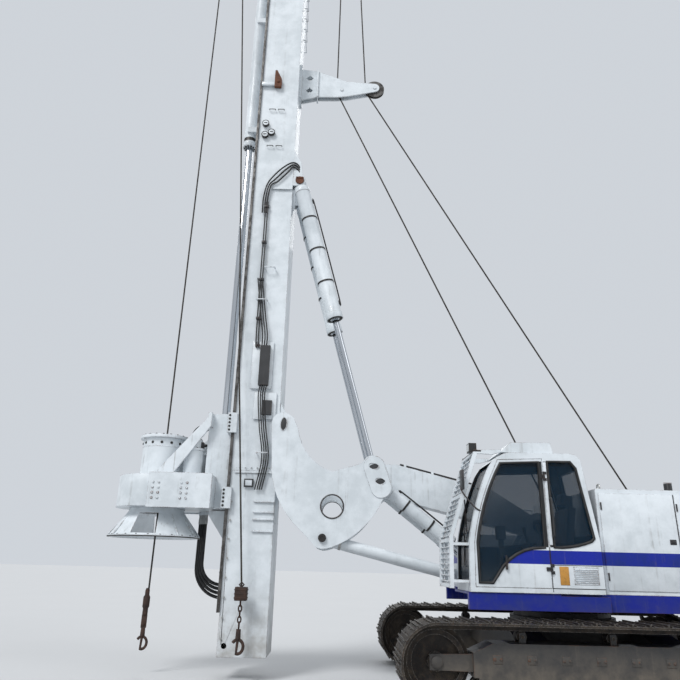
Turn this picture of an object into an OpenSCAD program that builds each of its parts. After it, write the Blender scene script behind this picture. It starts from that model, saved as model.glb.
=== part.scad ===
// Rotary piling rig on crawler tracks. +Z up, the mast at the -X end, the cab on the -Y side.
// The origin is on the ground, at the middle of the whole machine's box.

/* [Layout] */
// Distance from the slew axis forward to the drill axis
drill_reach = 6470; // [6300:10:6600]
// Distance from the slew axis back to the tail of the counterweight
tail_radius = 4050; // [3950:10:4200]
// Distance from the drill axis back to the front face of the mast
drill_offset = 1220; // [1180:10:1300]

/* [Undercarriage] */
// Distance between the sprocket and idler centres
track_wheelbase = 4500; // [4300:20:4700]
// Distance between the centre lines of the two tracks
track_gauge = 3500; // [3460:10:3560]
// Width of a track shoe
shoe_w = 800; // [700:10:900]
// Overall height of a track, over the lug tips
track_h = 1000; // [960:10:1040]
// Height of a lug over its shoe
lug_h = 30; // [20:1:40]
// Thickness of a shoe plate
shoe_t = 30; // [24:1:40]
// Height of the chain links inside the shoes
link_h = 70; // [60:1:80]
// Number of shoes in one track
shoe_count = 54; // [50:1:58]
// Radius of the slew ring
slew_ring_r = 720; // [680:10:760]
// Height of the top of the slew ring
slew_top_z = 1090; // [1080:1:1100]

/* [Upper frame] */
// Overall width of the upper frame and its houses
upper_w = 2900; // [2860:10:2960]
// Height of the frame's deck over its bottom
deck_h = 220; // [200:5:240]
// Distance from the slew axis forward to the front edge of the deck
deck_front = 1740; // [1720:10:1780]
// Clear width of the middle channel between the houses
channel_w = 1040; // [1000:10:1060]
// Height of the houses' roofs
house_top_z = 2720; // [2650:10:2800]
// Wall thickness of the houses
house_wall = 40; // [30:1:50]
// Radius of the main winch drum
main_drum_r = 300; // [260:5:320]
// Radius of the auxiliary winch drum
aux_drum_r = 220; // [200:5:250]
// Width of a winch drum between its flanges
drum_w = 480; // [440:10:500]

/* [Cab] */
// Width of the cab
cab_w = 920; // [880:10:940]
// Distance from the machine's middle plane to the cab's outer side
cab_side = 1570; // [1550:5:1600]
// Thickness of the cab's walls and door
cab_wall = 60; // [50:1:70]
// Thickness of the panes
pane_t = 8; // [6:1:10]

/* [Linkage] */
// Distance between the outer faces of the two rocker plates
rocker_w = 1150; // [1130:5:1200]
// Thickness of a rocker plate
rocker_t = 60; // [50:1:64]
// Radius of the boom's pins
pin_r = 60; // [50:1:65]
// Radius of the lower struts
strut_r = 80; // [70:1:80]
// Half width of the boom box
boom_half = 170; // [150:1:170]
// Radius of a boom cylinder's barrel
boom_barrel_r = 98; // [90:1:100]
// Radius of a boom cylinder's rod
boom_rod_r = 55; // [45:1:58]
// Radius of a mast cylinder's barrel
mast_barrel_r = 140; // [120:1:140]
// Radius of a mast cylinder's rod
mast_rod_r = 55; // [45:1:65]
// Length of a mast cylinder's barrel
mast_barrel_len = 2900; // [2850:10:2950]

/* [Mast] */
// Depth of the mast box, front to rear
mast_depth = 730; // [700:5:760]
// Width of the mast box
mast_w = 800; // [780:5:820]
// Wall thickness of the mast box
mast_wall = 22; // [18:1:30]
// Height of the mast's foot over the ground
mast_foot_z = 300; // [280:5:340]
// Height of the lower bolted seam
seam_low_z = 3000; // [2950:10:3050]
// Height of the upper bolted seam
seam_high_z = 14900; // [14500:50:15200]
// Height of the top of the mast box
mast_top_z = 20900; // [20500:50:21400]
// Depth of a guide rail in front of the mast
rail_t = 45; // [40:1:50]
// Width of a guide rail
rail_w = 110; // [100:1:120]
// Radius of the head's rope sheaves
head_sheave_r = 330; // [300:5:350]

/* [Rotary head] */
// Height of the gear case's bottom
case_z = 2400; // [2380:5:2450]
// Height of the gear case
case_h = 490; // [450:5:520]
// Radius of the gear case's round nose
case_r = 650; // [620:5:670]
// Inner radius of the drive sleeve
sleeve_bore_r = 260; // [240:1:265]
// Wall of the drive sleeve
sleeve_wall = 35; // [30:1:40]
// Radius of the bell's rim
bell_r = 720; // [700:5:740]
// Height of the bell
bell_h = 400; // [360:5:420]
// Height of the carriage column over the gear case's bottom
carriage_h = 1530; // [1500:10:1600]
// Radius of the crowd cylinder's rod
crowd_rod_r = 70; // [60:1:75]
// Radius of the crowd cylinder's barrel
crowd_barrel_r = 115; // [105:1:125]
// Height of the crowd barrel's collar
crowd_collar_z = 9500; // [9400:10:9600]
// Distance from the mast's front face to the crowd cylinder's axis
crowd_offset = 230; // [220:1:240]

/* [Hidden] */
$fn = 48;

paint = [0.86, 0.90, 0.92];
blue = [0.05, 0.13, 0.55];
dark = [0.10, 0.10, 0.11];
steel = [0.35, 0.36, 0.38];
chrome = [0.75, 0.77, 0.80];
glass = [0.10, 0.20, 0.28, 0.5];

// Running clearance of a pin in its bore, gap at a seat, and clearance of sliding pieces
fit = 0.05;
seat = 0.3;
slide_gap = 6;

// X of the slew axis, so that the whole machine's box is centred on the origin
slew_x = (drill_reach + bell_r - tail_radius) / 2;
drill_x = slew_x - drill_reach;
mast_front_x = drill_x + drill_offset;
mast_rear_x = mast_front_x + mast_depth;
mast_mid_x = (mast_front_x + mast_rear_x) / 2;
crowd_x = mast_front_x - crowd_offset;
tail_x = slew_x + tail_radius;

// Pins of the linkage, as [x, z]: a mast pivot, b mast cylinder rods, c boom, d lower struts
pin_a = [mast_rear_x + 90, 3740];
pin_b = pin_a + [1470, -650];
pin_c = pin_b + [100, -230];
pin_d = pin_a + [680, -1750];
// From a front pin of the parallelogram to its rear pin
link_vec = [slew_x - 310 - pin_c.x, -595];
boom_rear = pin_c + link_vec;
strut_rear = pin_d + link_vec;
// Foot pin of the boom cylinders, and top pin of the mast cylinders
boom_foot = [slew_x - 1050, 1450];
mast_cyl_top = [mast_rear_x + 130, 8480];
strut_y = rocker_w / 2 - rocker_t - 5 - strut_r;
boom_cyl_y = boom_half + 115;
mast_cyl_y = 350;
rocker_in = rocker_w / 2 - rocker_t;

frame_z = slew_top_z + seat;
deck_z = frame_z + deck_h;
case_top_z = case_z + case_h;
carriage_top_z = case_z + carriage_h;
sleeve_r = sleeve_bore_r + sleeve_wall;

// Shapes

module both() {
    children();
    mirror([0, 1, 0]) children();
}

// A 2D outline in x and z, as a plate from y0 to y1
module plate(y0, y1) {
    translate([0, y1, 0]) rotate([90, 0, 0]) linear_extrude(y1 - y0) children();
}

// A round bar along Y from y0 to y1, at p = [x, z]
module bar_y(p, r, y0, y1) {
    translate([p.x, y0, p.y]) rotate([-90, 0, 0]) cylinder(r = r, h = y1 - y0);
}

// A ring along Y
module ring_y(p, r_out, r_in, y0, y1) {
    difference() {
        bar_y(p, r_out, y0, y1);
        bar_y(p, r_in, y0 - 1, y1 + 1);
    }
}

// A block between two corners
module block(a, b) {
    translate(a) cube(b - a);
}

// Local X runs from p to q, both [x, z], at the given y
module along(p, q, y = 0) {
    translate([p.x, y, p.y]) rotate([0, -atan2(q.y - p.y, q.x - p.x), 0]) children();
}

// A round bar along local X from x0 to x1
module bar_x(r, x0, x1) {
    translate([x0, 0, 0]) rotate([0, 90, 0]) cylinder(r = r, h = x1 - x0);
}

// An upright tube of rectangular section, from z0 to z1
module box_tube(x0, x1, w, wall, z0, z1) {
    difference() {
        block([x0, -w / 2, z0], [x1, w / 2, z1]);
        block([x0 + wall, -w / 2 + wall, z0 - 1], [x1 - wall, w / 2 - wall, z1 + 1]);
    }
}

// Points of the arc through a, b and c
function arc3(a, b, c, n = 8) = let(
    d = 2 * (a.x * (b.y - c.y) + b.x * (c.y - a.y) + c.x * (a.y - b.y)),
    o = [((a * a) * (b.y - c.y) + (b * b) * (c.y - a.y) + (c * c) * (a.y - b.y)) / d,
        ((a * a) * (c.x - b.x) + (b * b) * (a.x - c.x) + (c * c) * (b.x - a.x)) / d],
    r = norm(a - o),
    t0 = atan2(a.y - o.y, a.x - o.x),
    t1 = atan2(c.y - o.y, c.x - o.x),
    ccw = (b.x - a.x) * (c.y - b.y) - (b.y - a.y) * (c.x - b.x) > 0,
    turn = ccw ? (t1 - t0 + 720) % 360 : -((t0 - t1 + 720) % 360))
    [for (i = [0:n]) o + r * [cos(t0 + turn * i / n), sin(t0 + turn * i / n)]];

function middle(pts) = [for (k = [0, 1]) (min([for (p = pts) p[k]]) + max([for (p = pts) p[k]])) / 2];

// The same outline with each point moved by d towards its middle
function inset(pts, d) = let(c = middle(pts)) [for (p = pts) p + (c - p) * d / norm(c - p)];

// Undercarriage

wheel_r = track_h / 2;
shoe_out_r = wheel_r - lug_h;
shoe_in_r = shoe_out_r - shoe_t;
chain_in_r = shoe_in_r - link_h;
half_base = track_wheelbase / 2;
idler_c = [slew_x - half_base, wheel_r];
sprocket_c = [slew_x + half_base, wheel_r];
track_len = 2 * track_wheelbase + 2 * PI * shoe_out_r;
shoe_pitch = track_len / shoe_count;
chain_w = 220;
chain_gap = 90;
side_frame_w = 420;
skirt_t = 30;
frame_top_z = 730;
frame_low_z = 340;
skirt_low_z = 180;
roller_r = 90;
roller_count = 9;
carrier_r = 66;
axle_r = 30;

// Position and direction at distance s along the loop of shoes, as [[x, z], angle]
function on_track(s) = let(
    bend = PI * shoe_out_r,
    u = s % track_len)
    u < track_wheelbase ? [[sprocket_c.x - u, wheel_r + shoe_out_r], 90]
    : u < track_wheelbase + bend ? let(t = 90 + (u - track_wheelbase) / bend * 180)
        [idler_c + shoe_out_r * [cos(t), sin(t)], t]
    : u < 2 * track_wheelbase + bend ? [[idler_c.x + u - track_wheelbase - bend, wheel_r - shoe_out_r], 270]
    : let(t = 270 + (u - 2 * track_wheelbase - bend) / bend * 180)
        [sprocket_c + shoe_out_r * [cos(t), sin(t)], t];

module stadium(r) {
    translate(idler_c) circle(r);
    translate(sprocket_c) circle(r);
    translate([idler_c.x, wheel_r - r]) square([track_wheelbase, 2 * r]);
}

module track(side) {
    link_w = (chain_w - chain_gap) / 2;
    color(dark) translate([0, side * track_gauge / 2, 0]) {
        plate(-shoe_w / 2, shoe_w / 2) {
            difference() {
                stadium(shoe_out_r);
                stadium(shoe_in_r);
            }
            for (i = [0:shoe_count - 1]) {
                at = on_track((i + 0.5) * shoe_pitch);
                translate(at[0]) rotate(at[1]) {
                    translate([-shoe_t / 2, -10]) square([shoe_t / 2 + lug_h, 20]);
                }
            }
        }
        both() plate(chain_gap / 2, chain_gap / 2 + link_w) difference() {
            stadium(shoe_in_r + 1);
            stadium(chain_in_r);
        }
    }
}

module track_left() {
    track(-1);
}

module track_right() {
    track(1);
}

roller_span = track_wheelbase - 1100;
roller_z = wheel_r - chain_in_r + seat + roller_r;
carrier_z = wheel_r + chain_in_r - seat - carrier_r;
roller_x = [for (i = [0:roller_count - 1]) slew_x - roller_span / 2 + roller_span * i / (roller_count - 1)];
carrier_x = [slew_x - 1150, slew_x, slew_x + 1150];
hub_r = 250;
carrier_gap = 0.8;

module track_frame(side) {
    half = side_frame_w / 2;
    ends = half_base - 450;
    color(paint) translate([0, side * track_gauge / 2, 0]) difference() {
        union() {
            plate(-half, half) polygon([
                [slew_x - ends, frame_low_z], [slew_x + ends, frame_low_z], [slew_x + ends, 620],
                [slew_x + ends - 250, frame_top_z], [slew_x - ends + 250, frame_top_z], [slew_x - ends,
                    620]]);
            both() plate(half - skirt_t, half) polygon([
                [slew_x - ends + 60, frame_low_z + 1], [slew_x - ends + 60, skirt_low_z],
                [slew_x + ends - 60, skirt_low_z], [slew_x + ends - 60, frame_low_z + 1]]);
            // Yoke of the idler
            both() plate(120, 160) polygon([
                [idler_c.x - 90, wheel_r - 90], [slew_x - ends + 1, 400], [slew_x - ends + 1, 600],
                [idler_c.x - 90, wheel_r + 90]]);
            // Carrier of the final drive, on the inner side of the sprocket
            scale([1, -side, 1]) {
                plate(110, 160) polygon([
                    [slew_x + ends - 1, 380], [sprocket_c.x, wheel_r - hub_r], [sprocket_c.x,
                        wheel_r + hub_r],
                    [slew_x + ends - 1, 600]]);
                bar_y(sprocket_c, hub_r, 110, 300);
            }
            // Posts of the carrier rollers
            for (x = carrier_x) both() block([x - 40, 90, frame_top_z - 60], [x + 40, 120, carrier_z + 50]);
        }
        bar_y(idler_c, axle_r + 15 + fit, -half, half);
        for (x = roller_x) bar_y([x, roller_z], axle_r + fit, -half - 1, half + 1);
        for (x = carrier_x) bar_y([x, carrier_z], axle_r - 8 + carrier_gap, -half, half);
    }
}

module track_frame_left() {
    track_frame(-1);
}

module track_frame_right() {
    track_frame(1);
}

module sprockets() {
    teeth = 15;
    root_r = chain_in_r - 8;
    tip_r = shoe_in_r - 14;
    color(steel) for (side = [-1, 1]) translate([0, side * track_gauge / 2, 0]) {
        plate(-35, 35) translate(sprocket_c) {
            circle(root_r);
            for (i = [0:teeth - 1]) rotate(i * 360 / teeth) polygon([
                [root_r - 12, -42], [tip_r, -16], [tip_r, 16], [root_r - 12, 42]]);
        }
        scale([1, -side, 1]) {
            bar_y(sprocket_c, 190, -90, 110 - seat);
        }
    }
}

module idlers() {
    color(steel) for (side = [-1, 1]) translate([0, side * track_gauge / 2, 0]) {
        difference() {
            union() {
                bar_y(idler_c, chain_in_r - seat, -chain_w / 2, chain_w / 2);
                bar_y(idler_c, shoe_in_r - 12, -38, 38);
            }
            both() ring_y(idler_c, chain_in_r - 60, 110, 55, chain_w / 2 + 1);
        }
        bar_y(idler_c, axle_r + 15, -168, 168);
    }
}

module roller(p, r, w, flange) {
    bar_y(p, r, -w / 2, w / 2);
    bar_y(p, r + flange, -35, 35);
    bar_y(p, r + flange, w / 2 - 1, w / 2 + 14);
    bar_y(p, r + flange, -w / 2 - 14, -w / 2 + 1);
}

module track_rollers() {
    half = side_frame_w / 2;
    color(steel) for (side = [-1, 1]) translate([0, side * track_gauge / 2, 0]) {
        for (x = roller_x) {
            roller([x, roller_z], roller_r, chain_w + 12, 18);
            bar_y([x, roller_z], axle_r, -half - 10, half + 10);
        }
        for (x = carrier_x) {
            bar_y([x, carrier_z], carrier_r, -80, 80);
            bar_y([x, carrier_z], axle_r - 8, -130, 130);
        }
    }
}

carbody_top_z = 950;

module carbody() {
    arm_x = 900;
    arm_w = 420;
    inner = track_gauge / 2 - side_frame_w / 2;
    color(paint) {
        translate([slew_x, 0, 0]) {
            translate([0, 0, 820]) cylinder(r = slew_ring_r + 60, h = carbody_top_z - 820);
            block([-arm_x - arm_w / 2, -780, 430], [arm_x + arm_w / 2, 780, 821]);
            both() for (s = [-1, 1]) scale([s, 1, 1]) rotate([90, 0, 90]) translate([0, 0,
                arm_x - arm_w / 2])
                linear_extrude(arm_w) polygon([[770, 430], [inner, 470], [inner, 700], [1050, 821], [770,
                    821]]);
        }
    }
}

module slew_ring() {
    color(steel) translate([slew_x, 0, carbody_top_z]) difference() {
        union() {
            cylinder(r = slew_ring_r, h = 70);
            translate([0, 0, 69]) cylinder(r = slew_ring_r - 40, h = slew_top_z - carbody_top_z - 69);
        }
        translate([0, 0, -1]) cylinder(r = slew_ring_r - 150, h = 300);
    }
}

// Upper frame

girder_in = boom_half + 6;
girder_t = 48;
girder_out = girder_in + girder_t;
girder_top_z = 1440;
house_x0 = slew_x + 150;
tail_block = 600;
house_x1 = tail_x - tail_block - 10;
main_drum_c = [slew_x + 484, 2050];
aux_drum_c = [slew_x + 1900, 1800];
eye_w = 90;
lug_t = 30;
inner_lug_y = strut_y - eye_w / 2 - 8 - lug_t;
outer_lug_y = strut_y + eye_w / 2 + 8;
strut_pin_r = 40;
foot_stub = inner_lug_y - 5;

girder_front = slew_x - 1250;

module upper_frame() {
    half = upper_w / 2;
    channel = channel_w / 2;
    front = slew_x - deck_front;
    color(blue) {
        // Deck plate, side beams and cross beams
        block([front, -cab_side + 20, deck_z - 30], [slew_x - 499, -channel, deck_z]);
        block([front + 200, channel, deck_z - 30], [slew_x - 499, half, deck_z]);
        block([slew_x - 500, -half, deck_z - 30], [house_x1, half, deck_z]);
        block([front, -cab_side + 20, frame_z], [slew_x + 160, -cab_side + 110, deck_z - 29]);
        block([slew_x + 60, -half, frame_z], [house_x1, -half + 90, deck_z - 29]);
        block([front + 200, half - 90, frame_z], [house_x1, half, deck_z - 29]);
        for (x = [slew_x - 1250, slew_x - 100, slew_x + 1150, house_x1 - 120])
            block([x, -half + 40, frame_z + 20], [x + 120, half - 40, deck_z - 29]);
        translate([slew_x, 0, frame_z]) difference() {
            cylinder(r = slew_ring_r + 20, h = 60);
            translate([0, 0, -1]) cylinder(r = slew_ring_r - 160, h = 62);
        }
        // Soles that carry the girders in front of the deck plate
        both() block([girder_front, girder_in - 20, frame_z + 10], [slew_x - 499, channel + 1, deck_z]);
    }
}

// Girders, whose webs rise at the front into the ears that hold the boom
module girders() {
    low = deck_z + seat;
    color(paint) both() difference() {
        plate(girder_in, girder_out) polygon(concat(
            [[girder_front, low], [house_x1, low], [house_x1, girder_top_z], [slew_x + 190, girder_top_z]],
            arc3(boom_rear + [190, -60], boom_rear + [0, 200], boom_rear + [-190, -60], 10),
            [[slew_x - 900, 1600], [girder_front, 1500]]));
        bar_y(boom_rear, pin_r + fit, girder_in - 1, girder_out + 1);
    }
    // Lugs of the lower struts, the inner ones also closing the boom cylinders' feet
    color(paint) both() {
        for (y = [inner_lug_y, outer_lug_y]) difference() {
            plate(y, y + lug_t) union() {
                translate(strut_rear) circle(75);
                polygon([strut_rear + [-75, 0], strut_rear + [0, 74], boom_foot + [60, 90],
                    boom_foot + [110, 0], [boom_foot.x + 200, low], [strut_rear.x - 200, low]]);
            }
            bar_y(strut_rear, strut_pin_r - 1, y - 1, y + lug_t + 1);
        }
        block([strut_rear.x - 200, girder_out - 1, low], [boom_foot.x + 200, outer_lug_y + lug_t, low + 8]);
    }
    color(steel) both() bar_y(strut_rear, strut_pin_r, inner_lug_y, outer_lug_y + lug_t);
}

drum_flange_t = 25;
stand_y = drum_w / 2 + drum_flange_t + 8;
stand_t = 30;
drum_shaft_r = 50;

module winch_stand(c, base) {
    both() difference() {
        plate(stand_y, stand_y + stand_t) union() {
            translate(c) circle(130);
            polygon([c + [-130, 0], c + [130, 0], [c.x + base, deck_z], [c.x - base, deck_z]]);
        }
        bar_y(c, drum_shaft_r + fit, stand_y - 1, stand_y + stand_t + 1);
    }
    for (s = [-1, 1]) translate([c.x + s * (base - 60) - 15, 0, 0])
        block([0, -stand_y - 1, girder_top_z + seat], [30, stand_y + 1, girder_top_z + 60]);
}

module winch_stands() {
    color(paint) {
        winch_stand(main_drum_c, 330);
        winch_stand(aux_drum_c, 280);
    }
}

module drum(c, r, flange_r) {
    color(dark) {
        bar_y(c, r, -drum_w / 2, drum_w / 2);
        both() bar_y(c, flange_r, drum_w / 2 - 1, drum_w / 2 + drum_flange_t);
        bar_y(c, drum_shaft_r, -stand_y - stand_t, stand_y + stand_t);
    }
}

module main_drum() {
    drum(main_drum_c, main_drum_r, main_drum_r + 110);
}

module aux_drum() {
    drum(aux_drum_c, aux_drum_r, aux_drum_r + 90);
}

// Cab

cab_in = cab_side - cab_w;
cab_low_z = deck_z;
b_pillar_x = slew_x - 610;
cab_top_z = 3190;
cab_front = [slew_x - 1720, cab_low_z];
cab_knee = [slew_x - 1705, 1950];

// X of the cab's front face at height z, below its knee
function cab_face(z) = cab_front.x
    + (cab_knee.x - cab_front.x) * (z - cab_front.y) / (cab_knee.y - cab_front.y);

// The side outline of the cab, and the stretch of its front behind the windscreen, moved back by d
function cab_nose(d) = arc3(cab_knee + [d, 0], [slew_x - 1590 + d, 2442], [slew_x - 1400 + d,
    2940 - d / 3], 8);
cab_outline = concat([cab_front], cab_nose(0),
    arc3([slew_x - 1370, 2990], [slew_x - 1250, 3125], [slew_x - 1060, cab_top_z], 4),
    arc3([slew_x - 190, cab_top_z], [slew_x - 95, 3150], [slew_x - 50, 3060], 4),
    [[slew_x + 100, 2000], [slew_x + 100, cab_low_z]]);

function door_outline(g) = concat([[slew_x - 1645 + g, 1372 + g]], cab_nose(70 + g),
    [[slew_x - 1250, 3085 - g], [b_pillar_x - g, 3110 - g], [b_pillar_x - g, 1372 + g]]);
door_window = concat([[slew_x - 1590, 1430]], cab_nose(115),
    [[slew_x - 1215, 3030], [b_pillar_x - 60, 3060], [b_pillar_x - 60, 1895]],
    arc3([b_pillar_x - 100, 1893], [slew_x - 1050, 1810], [slew_x - 1330, 1540], 6),
    [[slew_x - 1410, 1430]]);
rear_window = concat([[b_pillar_x + 70, 3070], [slew_x - 210, 3070], [slew_x - 140, 2980], [slew_x + 20,
    2030]],
    arc3([slew_x - 20, 1990], [slew_x - 220, 1930], [b_pillar_x + 70, 1900], 5));
inner_window = [[slew_x - 1560, 1900], [slew_x - 1300, 2990], [slew_x - 260, 3040], [slew_x - 60, 2030],
    [slew_x - 1100, 1900]];
// The floor lies between the walls, this far from their inner faces
floor_edge = 5;
floor_x = [cab_front.x + cab_wall + floor_edge, slew_x + 100 - cab_wall - floor_edge];
floor_y = [-cab_side + cab_wall + floor_edge, -cab_in - cab_wall - floor_edge];
screen_y = [-cab_side + 70, -cab_in - 70];
screen_z = [1450, 3060];
back_z = [2080, 2980];

module cab_shell() {
    inner_y = -cab_in - cab_wall;
    outer_y = -cab_side + cab_wall;
    color(paint) difference() {
        plate(-cab_side, -cab_in) polygon(cab_outline);
        plate(outer_y, inner_y) offset(delta = -cab_wall) polygon(cab_outline);
        plate(-cab_side - 1, outer_y + 1) polygon(door_outline(0));
        plate(-cab_side - 1, outer_y + 1) polygon(rear_window);
        plate(inner_y - 1, -cab_in + 1) polygon(inner_window);
        block([slew_x - 1800, screen_y[0], screen_z[0]], [slew_x - 1200, screen_y[1], screen_z[1]]);
        block([slew_x - 100, screen_y[0], back_z[0]], [slew_x + 200, screen_y[1], back_z[1]]);
        block([floor_x[0], floor_y[0], cab_low_z - 1], [floor_x[1], floor_y[1], cab_low_z + cab_wall + 1]);
    }
    // Door hinges' knuckles on the door pillar
    color(dark) for (z = hinge_z) for (s = [-1, 1])
        translate([hinge_x, hinge_y, z + s * 45 - 20]) difference() {
            union() {
                cylinder(r = 16, h = 40);
                translate([0, 4, 0]) cube([40, 12, 40]);
            }
            translate([0, 0, -1]) cylinder(r = hinge_pin_r + fit, h = 42);
        }
}

hinge_pin_r = 8;
hinge_x = b_pillar_x + 4;
hinge_y = -cab_side - 16;
hinge_z = [1620, 2860];

module cab_floor() {
    color(dark) block([floor_x[0] + seat, floor_y[0] + seat, cab_low_z],
        [floor_x[1] - seat, floor_y[1] - seat, cab_low_z + cab_wall]);
}

module cab_door() {
    color(paint) difference() {
        plate(-cab_side, -cab_side + cab_wall) polygon(door_outline(5));
        plate(-cab_side - 1, -cab_side + cab_wall + 1) polygon(door_window);
    }
    color(dark) {
        for (z = hinge_z) translate([hinge_x, hinge_y, z - 24.5]) {
            cylinder(r = 16, h = 49);
            translate([0, 0, -40]) cylinder(r = hinge_pin_r, h = 129);
            translate([-70, 4, 0]) cube([70, 12, 49]);
        }
        // Pull handle
        translate([slew_x - 1230, -cab_side - 40, 1600]) {
            cube([24, 24, 180]);
            for (z = [0, 156]) translate([0, 0, z]) cube([24, 41, 24]);
        }
    }
}

module door_glass() {
    color(glass) plate(-cab_side + cab_wall / 2 - pane_t / 2, -cab_side + cab_wall / 2 + pane_t / 2)
        polygon(inset(door_window, seat));
}

module cab_glass() {
    mid = cab_wall / 2 - pane_t / 2;
    color(glass) {
        plate(-cab_side + mid, -cab_side + mid + pane_t) polygon(inset(rear_window, seat));
        plate(-cab_in - mid - pane_t, -cab_in - mid) polygon(inset(inner_window, seat));
        intersection() {
            plate(screen_y[0] + seat, screen_y[1] - seat) difference() {
                offset(delta = -mid) polygon(cab_outline);
                offset(delta = -mid - pane_t) polygon(cab_outline);
            }
            union() {
                block([slew_x - 1800, screen_y[0], screen_z[0] + seat], [slew_x - 1200, screen_y[1],
                    screen_z[1] - seat]);
                block([slew_x - 100, screen_y[0], back_z[0] + seat], [slew_x + 200, screen_y[1],
                    back_z[1] - seat]);
            }
        }
    }
}

guard_low = [slew_x - 1990, 1350];
guard_bend = [slew_x - 1975, 2020];
guard_top = [slew_x - 1570, 3230];
guard_bars = 26;

module cab_guard() {
    y0 = -cab_side + 30;
    y1 = -cab_in - 30;
    bar = 34;
    color(paint) {
        // Side rails, then the slats between them
        for (y = [y0, y1 - bar]) plate(y, y + bar) polygon([guard_low, guard_bend, guard_top,
            guard_top + [60, -10], guard_bend + [60, -5], guard_low + [60, 0]]);
        for (i = [0:guard_bars - 1]) {
            t = i / (guard_bars - 1);
            p = t < 0.36 ? guard_low + (guard_bend - guard_low) * t / 0.36
                : guard_bend + (guard_top - guard_bend) * (t - 0.36) / 0.64;
            wide = i % 8 == 0 ? 50 : 14;
            z = p.y + (t == 1 ? -40 : 4);
            block([p.x + 14, y0 + 10, z], [p.x + 44, y1 - 10, z + wide]);
        }
        for (y = [y0 + 240, y1 - 270]) plate(y, y + 12) polygon([guard_low + [20, 10], guard_bend + [20, 0],
            guard_top + [20, -20], guard_top + [38, -20], guard_bend + [38, 0], guard_low + [38, 10]]);
        // Stays from the cab's front to the guard
        for (y = [y0, y1 - bar], z = [1420, 1900]) plate(y, y + bar) polygon([[guard_low.x + 50, z],
            [cab_face(z) - seat, z], [cab_face(z + 40) - seat, z + 40], [guard_low.x + 50, z + 40]]);
        for (y = [y0, y1 - bar]) plate(y, y + bar) polygon([guard_top + [10, -60], guard_top + [60, -10],
            [slew_x - 1180, 3235], [slew_x - 1180, 3195], [slew_x - 1300, 3160]]);
        // Hood over the roof
        for (y = [y0, y1 - 20]) plate(y, y + 20) polygon([[slew_x - 1190, 3194], [slew_x - 1040, 3340],
            [slew_x - 460, 3350], [slew_x - 430, cab_top_z + seat], [slew_x - 1040, cab_top_z + seat]]);
        plate(y0 + 19, y1 - 19) polygon([[slew_x - 1190, 3194], [slew_x - 1040, 3335], [slew_x - 460, 3345],
            [slew_x - 460, 3320], [slew_x - 1030, 3310], [slew_x - 1150, 3194]]);
    }
    // Work lamp
    color(dark) translate([guard_top.x - 60, y0 + 60, guard_top.y - 30]) cube([110, 170, 130]);
}

module cab_seat() {
    y = -(cab_side + cab_in) / 2;
    floor_z = cab_low_z + cab_wall;
    x = slew_x - 700;
    color(dark) {
        block([x + 60, y - 160, floor_z], [x + 400, y + 160, floor_z + 330]);
        plate(y - 240, y + 240) polygon([[x, floor_z + 329], [x + 470, floor_z + 329], [x + 590,
            floor_z + 1080],
            [x + 480, floor_z + 1090], [x + 380, floor_z + 460], [x, floor_z + 450]]);
        plate(y - 130, y + 130) polygon([[x + 482, floor_z + 1085], [x + 588, floor_z + 1075],
            [x + 600, floor_z + 1260], [x + 510, floor_z + 1265]]);
        for (s = [-1, 1]) block([x - 60, y + s * 320 - 70, floor_z], [x + 420, y + s * 320 + 70,
            floor_z + 560]);
        for (s = [-1, 1]) translate([x + 20, y + s * 320, floor_z + 559]) cylinder(r = 18, h = 150);
        // Monitor on its post
        block([x - 560, y - 330, floor_z], [x - 500, y - 270, floor_z + 620]);
        block([x - 575, y - 410, floor_z + 619], [x - 485, y - 190, floor_z + 800]);
    }
}

module house(y0, y1) {
    difference() {
        block([house_x0, y0, deck_z], [house_x1, y1, house_top_z]);
        block([house_x0 + house_wall, y0 + house_wall, deck_z - 1],
            [house_x1 - house_wall, y1 - house_wall, house_top_z - house_wall]);
    }
}

module left_house() {
    color(paint) house(-upper_w / 2, -channel_w / 2);
}

module right_house() {
    tank_front = slew_x - deck_front + 260;
    color(paint) {
        difference() {
            house(channel_w / 2, upper_w / 2);
            // Air slots of the engine room
            for (i = [0:9]) block([slew_x + 900 + i * 130, upper_w / 2 - house_wall - 1, 1700],
                [slew_x + 960 + i * 130, upper_w / 2 + 1, 2450]);
        }
        // Tank and steps in front
        plate(channel_w / 2, upper_w / 2) polygon([[tank_front, deck_z], [house_x0 + 1, deck_z],
            [house_x0 + 1, 2150], [tank_front + 300, 2150], [tank_front, 1850]]);
    }
    color(dark) translate([slew_x + 2500, 1000, house_top_z - 1]) difference() {
        union() {
            cylinder(r = 110, h = 40);
            cylinder(r = 70, h = 420);
        }
        translate([0, 0, 60]) cylinder(r = 60, h = 400);
    }
}

module engine() {
    color(steel) block([slew_x + 900, channel_w / 2 + 120, deck_z],
        [slew_x + 2250, upper_w / 2 - house_wall - 80, house_top_z - 440]);
}

module counterweight() {
    half = upper_w / 2;
    low = 1150;
    top = 2560;
    notch = 1760;
    x0 = tail_x - tail_block;
    outline = concat([[x0, -half]], [for (t = [0:15:75]) [tail_x - 320 + 320 * sin(t),
        -half + 320 - 320 * cos(t)]],
        [[tail_x, -half + 330], [tail_x, half - 330]],
        [for (t = [75:-15:0]) [tail_x - 320 + 320 * sin(t), half - 320 + 320 * cos(t)]], [[x0, half]]);
    color(paint) difference() {
        translate([0, 0, low]) linear_extrude(top - low) polygon(outline);
        block([x0 - 1, -channel_w / 2 + 60, notch], [tail_x + 1, channel_w / 2 - 60, top + 1]);
        block([x0 - 1, -half + 200, low - 1], [x0 + 40, half - 200, low + 1]);
    }
    // Carrier tongue that sits on the frame's tail
    color(paint) block([house_x1 + seat, -half + 200, frame_z + 40], [x0 + 1, half - 200, deck_z - 40]);
}

// Linkage

strut_eye_r = 80;
strut_neck = 230;

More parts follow.
